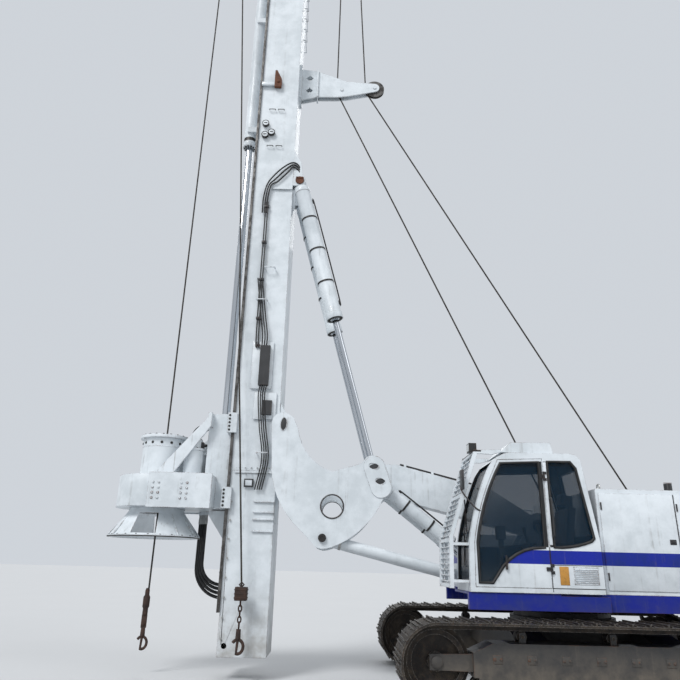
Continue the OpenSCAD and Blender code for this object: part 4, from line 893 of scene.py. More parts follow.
# %% Mast covers and ladder
COVER_T = 0.010
mast_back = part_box("mast_top")[1].x
hatches, hatch_bolts, ladder = Shape((mast_mid, 0, 0)), Shape((mast_mid, 0, 0)), Shape((mast_back, 0, 0))
for z in (11.9, 13.6, 15.9, 17.6, 19.3):
    for s in (-1, 1) if z > 15 else (1,):
        outer = s * (mast_half + COVER_T)
        hatches.box((-0.16, s * mast_half, z), (0.16, outer, z + 0.44))
        for x in (-0.135, 0.135):
            for dz in (0.03, 0.16, 0.28, 0.41):
                hatch_bolts.bolt((x, outer, z + dz), (0, s, 0), 0.010)
for z in row(12.2, 0.30, 28):
    ladder.tube([(0, -0.17, z), (0.055, -0.17, z), (0.055, 0.17, z), (0, 0.17, z)], 0.010, 8)
hatches.piece("mast_hatches", "mast", mast_white)
hatch_bolts.piece("hatch_bolts", "mast", zinc)
ladder.piece("mast_ladder", "mast", mast_white)

# %% [markdown]
# A weld shows as a low rounded bead along a joint. A thin tube is enough, and it takes the hard inside corner
# away, which is the surest sign of a computer model. Where the crowd cylinder's rod comes out, its gland is a
# stepped collar with a ring of bolts.

# %% Weld beads and the crowd cylinder's gland
welds = Shape((mast_mid, 0, 0))
for s in (-1, 1):
    for z in (2.06, 2.24, 2.35, 2.51):
        welds.tube([(0.035, s * mast_half, z), (reach, s * mast_half, z)], 0.007, 6)
welds.piece("rib_welds", "mast", mast_white)
collar = Shape((centre("crowd_rod").x, 0, 0))
for z, r in ((9.56, 0.128), (9.66, 0.122)):
    collar.band((0, 0, z), UP, 0.114, r, -0.05, 0.05, 0.005, 32)
collar.bolt_ring((0, 0, 9.50), DOWN, 0.095, 10, 0.014)
collar.piece("crowd_collar", "mast", dark_steel)
print("mast fittings done")

# %% [markdown]
# Rows and rings of bolts hold the rotary head together: on its guide shoes, its side plates, the gear case,
# the motors and the can's rim. A ring is one call with an axis, a radius and a count, and its heads point
# along that axis. Only the studs round the can point away from it, so they are placed one by one.

# %% Rotary head bolts
ON_DRILL = (drill, 0, 0)
CAN_TOP, STUD_Z = 3.57, 3.44
MOTOR_X, MOTOR_Y, MOTOR_TOP, PORT_Z = 0.57, 0.27, 3.50, 3.41
shoe_x, shoe_y = mast_front - drill - 0.075, 0.486
head_bolts, side_bolts, studs = Shape(ON_DRILL), Shape(ON_DRILL), Shape(ON_DRILL)
for s in (-1, 1):
    for z in row(case_z + 0.045, 0.06, 5) + row(3.645, 0.06, 5):
        head_bolts.bolt((shoe_x, s * shoe_y, z), (0, s, 0), 0.013)
    for x in (0.075, 0.165, 0.515, 0.605):
        for z in row(case_z + 0.12, 0.078, 4):
            side_bolts.bolt((x, s * case_high.y, z), (0, s, 0), 0.015)
    head_bolts.bolt_ring((MOTOR_X, s * MOTOR_Y, MOTOR_TOP - 0.15), UP, 0.148, 10, 0.012)
head_bolts.bolt_ring((0, 0, CAN_TOP), UP, 0.375, 20, 0.013)
head_bolts.bolt_ring((0, 0, case_top), UP, 0.50, 18, 0.017, 0.5)
stud_ring = Vector((0, 0, STUD_Z))
for place in ring_places(stud_ring, UP, 0.348, 14):
    studs.bolt(place, place - stud_ring, 0.016)
side_bolts.piece("side_bolts", "carriage", head_white)
head_bolts.piece("head_bolts", "carriage", dark_steel)
studs.piece("can_studs", "carriage", dark_steel)

# %% [markdown]
# Two rings go round the can. Each motor has a round top and a block with two stubs, from which hoses bend to
# the back. Rings and tops are spun profiles, and the hoses are tubes along rounded points.

# %% Rotary head rings, motor tops and hoses
bands = Shape(ON_DRILL)
bands.band((0, 0, STUD_Z - 0.07), UP, 0.345, 0.353, 0, 0.02, 0.003, 48)
bands.lathe((0, 0, case_top - 0.002), UP, [(0.35, 0), (0.375, 0.006), (0.375, 0.026), (0.35, 0.03)], 48)
bands.piece("can_bands", "carriage", head_white)
motor_top, motor_hoses = Shape((drill + MOTOR_X, 0, 0)), Shape((drill + MOTOR_X, 0, 0))
for s in (-1, 1):
    y = s * MOTOR_Y
    motor_top.lathe((0, y, MOTOR_TOP), UP, [(0.118, -0.01), (0.118, 0), (0.10, 0.018), (0.05, 0.02),
                                            (0.001, 0.02)])
    motor_top.box((0.02, y - 0.05, PORT_Z - 0.05), (0.15, y + 0.05, PORT_Z + 0.05), 0.008)
    for dy, rise in ((-0.03, 3.42), (0.03, 3.44)):
        motor_top.rod((0.15, y + dy, PORT_Z), (0.19, y + dy, PORT_Z), 0.022, 0.018, 6)
        motor_hoses.tube(rounded([(0.17, y + dy, PORT_Z), (0.23, y + dy, rise), (0.25, y + dy * 0.8, 3.56),
                                  (0.22, y * 0.85, 3.76), (0.30, y * 0.7, 3.90)]), 0.017)
    motor_hoses.tube(rounded([(-0.05, y - 0.02, MOTOR_TOP), (-0.05, y - 0.02, 3.60), (0.02, y * 0.9, 3.72),
                              (0.20, y * 0.7, 3.83)]), 0.012, 8)
motor_top.piece("motor_tops", "carriage", black)
motor_hoses.piece("motor_hoses", "carriage", hose_rubber)

# %% [markdown]
# Weld beads run down the bell's ribs between its neck and rim, and a dark rubbing strip with bolts follows
# its lower edge. They turn with it, so they ride on the drive's body.

# %% Bell
bell_low, bell_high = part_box("bell")
bell = Shape(ON_DRILL)
foot, top = Vector((0.712, 0, bell_low.z + 0.03)), Vector((0.445, 0, bell_high.z - 0.08))
for a in (15, 45, 135, 165, 195, 225, 315, 345):
    turn = Matrix.Rotation(math.radians(a), 4, "Z")
    bell.tube([turn @ foot, turn @ top], 0.012, 8)
bell.piece("bell_welds", "rotary_drive", head_white)
strip = Shape((drill, 0, bell_low.z))
strip.lathe((0, 0, 0), UP, [(0.700, -0.001), (0.724, 0), (0.726, 0.012), (0.720, 0.016)], 64)
strip.bolt_ring((0, 0, 0.03), UP, 0.685, 24, 0.012, 0.5)
strip.piece("bell_strip", "rotary_drive", dark_steel)

# %% [markdown]
# Linkage pins: each shows a round cap held by a keeper plate with two bolts, in dark steel that leaks grease.
# One function makes a cap for either side. The pins' places are named once, because the painted shade in the
# rocker's recesses and the cylinders in the next steps use them too.

# %% Pins and keepers
PIN_A, PIN_B = (-2.860, 3.740), (-1.390, 3.090)
PIN_C, PIN_D = (-1.290, 2.860), (-2.180, 1.990)
BOOM_REAR, STRUT_REAR = (1.260, 2.265), (0.370, 1.395)
BOOM_FOOT, MAST_CYL_TOP = (0.520, 1.450), (-2.820, 8.480)


def beside(pin, y):
    """A pin's place at a distance to the side."""
    return Vector((pin[0], y, pin[1]))


def pin_cap(shape, at, s, r, keeper=True):
    """A cap on a pin's end; s is the side it faces, -1 or 1."""
    shape.lathe(at, (0, s, 0), [(r, -0.005), (r, 0.018), (r * 0.92, 0.026), (r * 0.45, 0.026),
                                (r * 0.40, 0.020), (0.001, 0.020)], 28)
    if keeper:
        x, y, z = at
        outer = y + s * 0.034
        shape.box((x - r * 0.9, y, z + r * 0.42), (x + r * 0.9, outer, z + r * 0.80), 0.003)
        for dx in (-r * 0.6, r * 0.6):
            shape.bolt((x + dx, outer, z + r * 0.61), (0, s, 0), r * 0.13)


rocker_pins, mast_pins, deck_pins = Shape(), Shape(), Shape()
for s in (-1, 1):
    pin_cap(rocker_pins, beside(PIN_D, s * 0.595), s, 0.062, False)
    rocker_pins.bolt_ring(beside(PIN_D, s * 0.615), (0, s, 0), 0.040, 5, 0.007)
    pin_cap(mast_pins, beside(MAST_CYL_TOP, s * 0.435), s, 0.080)
    pin_cap(deck_pins, beside(STRUT_REAR, s * 0.513), s, 0.05)
    pin_cap(deck_pins, beside(BOOM_REAR, s * 0.226), s, 0.095)
rocker_pins.piece("rocker_pins", "rocker", dark_steel)
mast_pins.piece("mast_pins", "mast", rust)
deck_pins.piece("deck_pins", "upper", dark_steel)

# %% [markdown]
# Thin black ovals in the rocker plates' recesses and a thick dark ring round the hole are painted shade. An
# oval is a circle with two radii, turned by an angle. Its points give both the black oval and the rim's tube.

# %% Rocker plate trim
def oval(x, z, long, short, lean):
    """Points of an oval whose long axis leans by an angle."""
    return [(x + long * math.cos(t) * math.cos(lean) - short * math.sin(t) * math.sin(lean),
             z + long * math.cos(t) * math.sin(lean) + short * math.sin(t) * math.cos(lean))
            for t in angles(28)]


# Painted shade: black ovals in the recesses, and a dark ring on the round hole's wall.
recess_shade, rims = Shape(), Shape()
for s in (-1, 1):
    for line in (oval(*PIN_B, 0.083, 0.045, 0.20), oval(*PIN_C, 0.086, 0.050, 0.24),
                 oval(*PIN_A, 0.110, 0.052, 1.50)):
        recess_shade.plate(line, s * 0.574, s * 0.578, 0.001)
        rims.tube([(x, s * 0.578, z) for x, z in line], 0.007, 8, closed=True)
    hole = Vector((PIN_A[0] + 0.82, s * 0.576, PIN_A[1] - 1.28))
    recess_shade.tube(ring_places(hole, (0, 1, 0), 0.178, 40), 0.011, 8, closed=True)
rims.piece("rocker_rims", "rocker", link_white)
recess_shade.piece("rocker_recess_shade", "rocker", black)

# %% [markdown]
# Cylinders carry dark clamp rings with a pipe along the barrel, and a greasy gland where the rod comes out.
# The rings are placed by how far they stand along the barrel's own line.

# %% Cylinder fittings
def cylinder_trim(name, top, foot, half, r, shares, gland_share, pipe, body):
    """Trim for a pair of cylinders; shares say how far a thing stands along the line from top to foot."""
    rings, side_pipes = Shape(), Shape()
    for y in (-half, half):
        a, b = beside(top, y), beside(foot, y)
        way = (b - a).normalized()
        for share in shares:
            rings.band(a.lerp(b, share), way, r - 0.002, r + 0.009, -0.016, 0.016, 0.002, 32)
        gland = a.lerp(b, gland_share)
        rings.lathe(gland, way, [(r - 0.002, -0.05), (r + 0.006, -0.045), (r + 0.006, -0.012),
                                 (r * 0.98, 0.004), (r * 0.62, 0.006), (r * 0.60, -0.01)], 32)
        rings.bolt_ring(gland, way, r * 0.80, 12, 0.014)
        out = way.cross(Vector((0, 1, 0)))
        first, last = pipe
        line = [(first, r), (first + 0.01, r + 0.028), (last - 0.01, r + 0.028), (last, r)]
        side_pipes.tube(rounded([a.lerp(b, share) + out * away for share, away in line], 5), 0.013)
    rings.piece(name + "_rings", body, dark_steel)
    side_pipes.piece(name + "_pipes", body, hose_rubber)


cylinder_trim("mast_cylinder", MAST_CYL_TOP, PIN_B, 0.35, 0.14, (0.15, 0.27, 0.39), 2.900 / 5.576,
              (0.09, 0.46), "mast_barrels")
cylinder_trim("boom_cylinder", PIN_C, BOOM_FOOT, 0.285, 0.098, (0.24, 0.45), 1.450 / 2.294,
              (0.16, 0.57), "boom_barrels")
strut_collars = Shape()
for y in (-0.43, 0.43):
    a, b = beside(PIN_D, y), beside(STRUT_REAR, y)
    for share in (0.11, 0.88):
        strut_collars.band(a.lerp(b, share), b - a, 0.079, 0.086, -0.02, 0.02, 0.002, 28)
strut_collars.piece("strut_collars", "struts", zinc)

# %% [markdown]
# Four hoses lie along the boom's back in small clips, straight over the flat top plate. Their height follows
# the slope of that plate, so they neither sink in nor float.

# %% Boom hoses
back_foot = Vector((slew - 1.000, 0, 2.810))
back_slope = (PIN_C[1] + 0.330 - back_foot.z) / (PIN_C[0] + 0.300 - back_foot.x)


def boom_back(x, up):
    return back_foot.z + back_slope * (x - back_foot.x) + up


boom_lines, clips = Shape(), Shape()
for y in (-0.12, -0.06, 0.06, 0.12):
    boom_lines.tube([(x, y, boom_back(x, 0.024)) for x in (-0.93, -0.5, 0, 0.5)], 0.014)
for x in (-0.85, -0.40, 0.05, 0.45):
    clips.box((x - 0.02, -0.15, boom_back(x, -0.004)), (x + 0.02, 0.15, boom_back(x, 0.044)), 0.005)
boom_lines.piece("boom_hoses", "boom", hose_rubber)
clips.piece("boom_clips", "boom", link_white)
print("linkage fittings done")

# %% [markdown]
# A window's rubber seal follows the edge of its pane. The pane's outline is read from the solid: its flat
# outer face is found, merged into one face, and a thin tube runs round that.

# %% Window seals
def pane_outlines(node, side):
    """The outlines of a pane's faces that look to one side, -1 or 1."""
    bm = bmesh.new()
    bm.from_mesh(nodes[node].data)
    bmesh.ops.remove_doubles(bm, verts=bm.verts, dist=1e-4)
    other = [f for f in bm.faces if f.normal.y * side < 0.97]
    bmesh.ops.delete(bm, geom=other, context="FACES")
    bmesh.ops.dissolve_limit(bm, angle_limit=0.03, verts=bm.verts, edges=bm.edges, delimit=set())
    outlines = [[v.co.copy() for v in f.verts] for f in bm.faces if f.calc_area() > 0.05]
    bm.free()
    return outlines


seals, door_seals = Shape(), Shape()
for outline in pane_outlines("door_glass", -1):
    door_seals.tube([p - Vector((0, 0.022, 0)) for p in outline], 0.022, closed=True)
for side, wall in ((-1, cab_y), (1, cab_right)):
    for outline in pane_outlines("cab_glass", side):
        if abs(outline[0].y - wall) < 0.06:
            seals.tube([p + Vector((0, side * 0.024, 0)) for p in outline], 0.021, closed=True)
seals.piece("cab_seals", "upper", seal)
door_seals.piece("door_seal", "cab_door", seal)

# %% [markdown]
# Inside the cab: padded seat and back, two joysticks on the consoles, a dark monitor and three pedals. They
# show through the tinted panes and tell the eye that the cab is hollow. The cushions are blocks cut into a
# coarse grid, so that the padding can round them, and the levers are spun profiles on thin bars.

# %% Cab inside
IN_CAB = (slew - 0.70, cab_mid, deck_z + 0.06)


def cushion(name, low, high, lean, pivot):
    shape = Shape(IN_CAB).box(low, high, 0.035)
    bmesh.ops.subdivide_edges(shape.bm, edges=shape.bm.edges[:], cuts=1, use_grid_fill=True)
    turn = Matrix.Rotation(math.radians(lean), 3, "Y")
    for v in shape.bm.verts:
        v.co = turn @ (v.co - Vector(pivot)) + Vector(pivot)
    shape.piece(name, "upper", seat_fabric, smooth=60)


cushion("seat_cushion", (-0.01, -0.25, 0.43), (0.44, 0.25, 0.54), 0, (0, 0, 0.45))
cushion("seat_back", (0.36, -0.24, 0.55), (0.46, 0.24, 1.08), 8, (0.40, 0, 0.50))
cushion("head_rest", (0.42, -0.13, 1.12), (0.51, 0.13, 1.30), 8, (0.46, 0, 1.10))
controls = Shape(IN_CAB)
for y in (-0.32, 0.32):
    controls.lathe((0.02, y, 0.56), UP, [(0.05, 0), (0.045, 0.02), (0.03, 0.05), (0.016, 0.07),
                                         (0.001, 0.07)], 18)
    controls.rod((0.02, y, 0.56), (0, y, 0.74), 0.010, sides=10)
    controls.lathe((0, y, 0.72), (-0.1, 0, 1), [(0.001, -0.01), (0.018, 0), (0.026, 0.05), (0.030, 0.09),
                                                (0.022, 0.12), (0.001, 0.125)], 18)
    controls.box((0.10, y - 0.05, 0.56), (0.36, y + 0.05, 0.60), 0.012)
slant = Matrix.Rotation(math.radians(35), 4, "Y")
for y in (-0.16, 0, 0.16):
    controls.box((-0.62, y - 0.04, 0.02), (-0.50, y + 0.04, 0.09), 0.008, slant)
controls.piece("cab_controls", "upper", trim)
screen = Shape(IN_CAB).box((-0.486, -0.40, 0.635), (-0.478, -0.20, 0.785), 0.003)
screen.piece("monitor_screen", "upper", glass)

# %% [markdown]
# Outside the cab: a grab rail, the ribbed vent with the plain orange plate beside it, thin seams, and the
# light strip on the door pillar. All but the rail stand a few millimetres off the sheet. That is enough for a
# shadow line, and it keeps two faces from lying in one plane, which would flicker.

# %% Cab outside
ON_CAB = (slew, cab_y, 0)
STRIP_LEFT = -0.603
grab = Shape((slew - 0.55, cab_y, 0))
grab.tube(rounded([(0, 0, 2.55), (0, -0.06, 2.55), (0, -0.075, 2.5), (0, -0.075, 2.10), (0, -0.06, 2.05),
                   (0, 0, 2.05)], 4), 0.014)
grab.piece("cab_grab_rail", "upper", black)
strip = Shape(ON_CAB).box((STRIP_LEFT, -0.008, 1.93), (STRIP_LEFT + 0.043, 0.001, 3.06), 0.003)
strip.piece("pillar_strip", "upper", white_paint("strip_white", dirty=0.5))
vent = Shape(ON_CAB)
vent_left, vent_right, vent_low, vent_high = -0.31, 0.03, 1.430, 1.657
for z in row(1.455, 0.023, 8):
    vent.box((vent_left + 0.01, -0.012, z), (vent_right - 0.01, 0.002, z + 0.010), 0.002)
for z in (vent_low, vent_high - 0.012):
    vent.box((vent_left, -0.006, z), (vent_right, 0.002, z + 0.012), 0.002)
for x in (vent_left, vent_right - 0.012):
    vent.box((x, -0.006, vent_low), (x + 0.012, 0.002, vent_high), 0.002)
vent.piece("cab_vent", "upper", white_paint("vent_white", dirty=1.2))
orange = Shape(ON_CAB).box((-0.50, -0.006, 1.42), (-0.375, 0.001, 1.655))
orange.piece("orange_plate", "upper", orange_plate)
seams = Shape(ON_CAB)
seams.box((-0.60, -0.003, 1.372), (0.10, 0.001, 1.382), 0.001)
seams.box((-0.60, -0.003, 1.668), (0.09, 0.001, 1.676), 0.001)
seams.tube([(-0.605, -0.001, 1.33), (-0.605, -0.001, 1.90)], 0.004, 6)
seams.piece("cab_seams", "upper", seal)

# %% [markdown]
# Fine wire mesh fills the front guard. Modelled wires would cost thousands of faces, so this is a thin sheet
# with two sets of stripes in its alpha. Where neither runs, the sheet is clear.

# %% Mesh in the front guard
MESH_PER_M, WIRE_SHARE = 46, 0.30
f = Finish("guard_mesh", "white_paint", Roughness=0.5)
f.set("Alpha", ((f.y * MESH_PER_M).fraction() < WIRE_SHARE).most((f.z * MESH_PER_M).fraction() < WIRE_SHARE))
f.set("Base Color", f.mix(f.noise(6.0).step(0.4, 0.8) * 0.5, (0.36, 0.42, 0.47, 1), (0.16, 0.15, 0.14, 1)))
guard = Shape(ON_CAB)
line = [(-1.944, 1.36), (-1.929, 2.02), (-1.528, 3.20)]
guard.plate([*line, *[(x + 0.003, z) for x, z in reversed(line)]], 0.04, 0.88, 0)
guard.piece("guard_mesh", "upper", f)

# %% [markdown]
# A mirror hangs on a bent arm at the front of the cab, a wiper rests on the windscreen, and a lamp looks out
# from under the hood. Arms are tubes. The mirror's glass and the lamp's lens are thin blocks of their own,
# because a piece has one finish.

# %% Cab mirror, wiper and lamp
arms = Shape(ON_CAB)
arms.tube(rounded([(-1.50, 0.02, 2.35), (-1.62, -0.02, 2.42), (-1.78, -0.02, 2.62), (-1.78, -0.02, 2.74)]),
          0.011, 8)
arms.box((-1.792, -0.11, 2.64), (-1.758, 0.07, 2.92), 0.012)
arms.tube([(-1.70, 0.47, 1.62), (-1.66, 0.41, 2.42)], 0.008, 6)
arms.tube([(-1.675, 0.29, 2.10), (-1.645, 0.51, 2.56)], 0.009, 6)
arms.piece("mirror_and_wiper", "upper", black)
mirror = Shape(ON_CAB).box((-1.758, -0.095, 2.655), (-1.754, 0.055, 2.905), 0.002)
mirror.piece("mirror_face", "upper", chrome)
lamp = Shape(ON_CAB).box((-1.636, 0.105, 3.215), (-1.628, 0.245, 3.315))
lamp.piece("lamp_lens", "upper", clear_lens)
print("cab fittings done")

# %% [markdown]
# The houses are boxes of sheet steel with hinged doors. A door is a thin raised panel with rounded edges, a
# flush latch and two hinges; between doors a dark seal shows. The far side has its doors under the air slots.

# %% House doors
DOOR_COUNT, DOOR_GAP, DOOR_T = 3, 0.008, 0.012
BELOW_SLOTS = 1.66


def house_side(s, name, high):
    doors, seals_made, metal = [Shape((0, -s * house_low.y, 0)) for _ in range(3)]
    first, low = house_low.x + 0.03, deck_z + 0.05
    width = (house_high.x - 0.03 - first) / DOOR_COUNT
    mid = (low + high) / 2
    for x in row(first, width, DOOR_COUNT):
        a, b = x + DOOR_GAP, x + width - DOOR_GAP
        doors.box((a, 0, low), (b, s * DOOR_T, high), 0.006)
        for z in (low + 0.18, high - 0.18):
            metal.rod((a + 0.02, s * 0.016, z - 0.05), (a + 0.02, s * 0.016, z + 0.05), 0.011, sides=10)
        metal.box((b - 0.13, s * 0.010, mid - 0.035), (b - 0.04, s * 0.018, mid + 0.035), 0.006)
        metal.rod((b - 0.105, s * 0.018, mid), (b - 0.065, s * 0.024, mid), 0.012, sides=10)
        seals_made.box((b + 0.003, 0, low), (b + 0.013, s * 0.006, high), 0.001)
    doors.piece(name + "_doors", "upper", house_white)
    metal.piece(name + "_latches", "upper", black)
    seals_made.piece(name + "_seals", "upper", seal)


house_side(-1, "left_house", house_high.z - 0.06)
house_side(1, "right_house", BELOW_SLOTS)

# %% [markdown]
# The roofs carry bolted covers and lifting eyes. A mesh screen stands behind the air slots of the right
# house. A flat grid of thin bars is cheap and reads as a radiator from outside.

# %% Roofs
EYE_R = 0.045
roof_length = house_high.x - house_low.x
roof, roof_bolts = [Shape((house_low.x, 0, house_high.z)) for _ in range(2)]
for s in (-1, 1):
    y = s * 0.99
    for x in (0.25, 1.80):
        roof.box((x, y - 0.32, 0), (x + 1.25, y + 0.32, 0.014), 0.006)
        for dx in (0.06, 0.44, 0.81, 1.19):
            for dy in (-0.28, 0.28):
                roof_bolts.bolt((x + dx, y + dy, 0.014), UP, 0.012)
    for x in (0.12, roof_length - 0.12):
        eye = [(x, s * 1.30 + EYE_R * math.cos(t), 0.035 + EYE_R * math.sin(t)) for t in angles(18)]
        roof_bolts.tube(eye, 0.012, 8, closed=True)
roof.piece("roof_covers", "upper", house_white)
roof_bolts.piece("roof_bolts", "upper", zinc)
core = Shape((slew, 1.405, 0))
for z in row(1.72, 0.041, 18):
    core.box((0.88, -0.006, z), (2.16, 0, z + 0.012), 0)
core.piece("radiator_screen", "upper", black)

# %% [markdown]
# The counterweight is a casting: it has lifting trunnions and grips, bolts in its back and a red reflector
# each side. The exhaust gets a rusty clamp and a rain flap. What is round on the real one is a spun profile,
# and the grips are bent tubes.

# %% Counterweight and exhaust
tail_low, tail_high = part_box("counterweight")
weights, tail_bolts, reflectors = [Shape((tail_high.x, 0, 0)) for _ in range(3)]
trunnion_x, grip_x = (tail_low.x - tail_high.x) / 2, -0.28
grip_high = tail_high.z + 0.07
for s in (-1, 1):
    weights.lathe((trunnion_x, s * 1.45, 2.10), (0, s, 0),
                  [(0.09, -0.01), (0.09, 0.03), (0.07, 0.045), (0.001, 0.045)], 28)
    weights.tube([(grip_x, s * 0.85, tail_high.z), (grip_x, s * 0.85, grip_high),
                  (grip_x, s * 1.05, grip_high), (grip_x, s * 1.05, tail_high.z)], 0.018)
    reflectors.box((-0.002, s * 0.90 - 0.07, 1.52), (0.008, s * 0.90 + 0.07, 1.60), 0.003)
    for y in (0.75, 1.05):
        for z in (1.35, 2.30):
            tail_bolts.bolt((0, s * y, z), (1, 0, 0), 0.032)
weights.piece("counterweight_lugs", "upper", dark_steel)
tail_bolts.piece("counterweight_bolts", "upper", zinc)
reflectors.piece("reflectors", "upper", red_lens)
clamp = Shape((slew + 2.50, 1.0, house_high.z))
clamp.band((0, 0, 0.10), UP, 0.070, 0.082, 0, 0.04, 0.004, 28)
clamp.rod((-0.07, 0, 0.435), (0.08, 0, 0.437), 0.006, sides=8)
clamp.piece("exhaust_clamp", "upper", rust)
print("house fittings done")

# %% [markdown]
# The fuel tank in front of the right house is also the way up: it has two steps in its side, a filler cap,
# rails to hold and rows of raised bars on top, so that a boot doesn't slip. The bars are plain blocks at
# even steps, and the rails are tubes with rounded corners.

# %% Tank and steps
TANK_TOP, TANK_SIDE = 2.150, 1.449
STEP_LEFT, STEP_RIGHT, STEP_OUT = 0.62, 0.98, 1.475
RAIL_TOP, RAIL_SHOULDER, RAIL_FRONT, RAIL_REAR = 2.58, 2.50, 0.44, 1.41
treads, grip = Shape(), Shape()
for x in row(0.50, 0.085, 12):
    for y in (0.72, 1.08):
        treads.box((x, y, TANK_TOP - 0.002), (x + 0.030, y + 0.26, TANK_TOP + 0.008), 0.003)
for z in (1.46, 1.92):
    treads.box((STEP_LEFT, TANK_SIDE, z), (STEP_RIGHT, STEP_OUT, z + 0.02))
    for x in (STEP_LEFT, STEP_RIGHT - 0.015):
        treads.box((x, TANK_SIDE, z - 0.10), (x + 0.015, STEP_OUT, z), 0.003)
for y in (0.60, 1.41):
    grip.tube(rounded([(RAIL_FRONT, y, 2.13), (RAIL_FRONT, y, RAIL_SHOULDER), (0.50, y, RAIL_TOP),
                       (1.35, y, RAIL_TOP), (RAIL_REAR, y, RAIL_SHOULDER), (RAIL_REAR, y, 2.14)], 4), 0.016)
    grip.tube([(0.92, y, 2.14), (0.92, y, RAIL_TOP)], 0.014)
filler = Shape((1.42, 0.62, TANK_TOP)).lathe((0, 0, 0), UP, [
    (0.065, -0.002), (0.065, 0.03), (0.055, 0.036), (0.055, 0.060), (0.045, 0.066), (0.001, 0.066)], 28)
treads.piece("tank_treads", "upper", dark_steel, slot="black_paint")
filler.piece("filler_cap", "upper", black)
grip.piece("tank_rails", "upper", house_white)

# %% [markdown]
# Bolts hold every track shoe, and two low ridges run across it for grip. An array along a curve could place
# them, but the loop is only two straight runs and two half circles, and working those out puts each bolt
# exactly on its shoe.

# %% Track shoe bolts
WHEELBASE, SHOES, SHOE_R, GAUGE, SHOE_W, AXLE_Z = 4.5, 54, 0.470, 1.75, 0.80, 0.5
HALF_TURN = math.pi * SHOE_R
PITCH = 2 * (WHEELBASE + HALF_TURN) / SHOES
IDLER, SPROCKET = Vector((slew - WHEELBASE / 2, 0, AXLE_Z)), Vector((slew + WHEELBASE / 2, 0, AXLE_Z))
ACROSS = Vector((0, 1, 0))


def on_track(s):
    """Place and outward direction at distance s along the loop of shoes."""
    s %= PITCH * SHOES
    if s < WHEELBASE:
        return SPROCKET + Vector((-s, 0, SHOE_R)), Vector(UP)
    if WHEELBASE + HALF_TURN <= s < 2 * WHEELBASE + HALF_TURN:
        return IDLER + Vector((s - WHEELBASE - HALF_TURN, 0, -SHOE_R)), Vector(DOWN)
    wheel, t = IDLER, math.pi / 2 + (s - WHEELBASE) / SHOE_R
    if s > WHEELBASE + HALF_TURN:
        wheel, t = SPROCKET, 1.5 * math.pi + (s - 2 * WHEELBASE - HALF_TURN) / SHOE_R
    out = Vector((math.cos(t), 0, math.sin(t)))
    return wheel + out * SHOE_R, out


shoe_bolts, shoe_ridges = Shape(), Shape()
ridge_size = Matrix.Diagonal((0.014, SHOE_W - 0.03, 0.020, 1))
for i in range(SHOES):
    for part in (0.80, 1.20):
        at, out = on_track((i + part) * PITCH)
        for y in (-GAUGE - 0.10, -GAUGE + 0.10, GAUGE - 0.10, GAUGE + 0.10):
            shoe_bolts.rod(at + ACROSS * y, at + ACROSS * y + out * 0.014, 0.017, 0.015, 6)
    at, out = on_track((i + 1.0) * PITCH)
    forward = ACROSS.cross(out)
    turn = Matrix((forward, ACROSS, out)).transposed().to_4x4()
    for y in (-GAUGE, GAUGE):
        for off in (-0.055, 0.055):
            place = Matrix.Translation(at + ACROSS * y + forward * off + out * 0.006)
            bmesh.ops.create_cube(shoe_ridges.bm, size=1, matrix=place @ turn @ ridge_size)
shoe_bolts.piece("shoe_bolts", "undercarriage", tracks)
shoe_ridges.piece("shoe_ridges", "undercarriage", tracks)

# %% [markdown]
# Round caps close the final drives, the idlers and the rollers, small bolted plates sit along the track
# frames, and bolts stand round the ring that the upper works turn on. The caps are turned parts, so each is a
# short profile spun round its own axle.

# %% Drives, idlers, rollers and slew ring
under = Shape((slew, 0, 0))
for s in (-1, 1):
    y, out = s * GAUGE, (0, s, 0)
    under.lathe((WHEELBASE / 2, y + s * 0.09, AXLE_Z), out, [(0.19, 0), (0.19, 0.05), (0.16, 0.075),
                                                             (0.09, 0.08), (0.08, 0.10), (0.001, 0.10)], 36)
    under.bolt_ring((WHEELBASE / 2, y + s * 0.14, AXLE_Z), out, 0.172, 14, 0.013)
    under.lathe((-WHEELBASE / 2, y + s * 0.168, AXLE_Z), out, [(0.07, -0.01), (0.07, 0.02), (0.05, 0.03),
                                                               (0.001, 0.03)], 28)
    for x in row(-1.7, 0.425, 9):
        under.lathe((x, y + s * 0.22, 0.2203), out, [(0.046, -0.006), (0.046, 0.012), (0.03, 0.02),
                                                     (0.001, 0.02)], 18)
    for x in row(-1.5, 0.43, 8):
        under.box((x - 0.06, y + s * 0.204, 0.50), (x + 0.06, y + s * 0.216, 0.60))
        for dx in (-0.04, 0.04):
            under.bolt((x + dx, y + s * 0.216, 0.55), out, 0.012)
under.piece("drive_caps", "undercarriage", frame_dark)
ring_low, ring_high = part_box("slew_ring")
ring = Shape((slew, 0, ring_low.z + 0.07))
ring.bolt_ring((0, 0, 0), UP, (ring_high.x - ring_low.x) / 2 - 0.018, 40, 0.013)
ring.piece("slew_bolts", "undercarriage", dark_steel)
print("undercarriage fittings done")

# %% [markdown]
# The head of the mast: bolts on its cheeks, and short bars that keep the ropes on their wheels. The bars
# stand at two angles round each wheel, where a slack rope would leave its groove.

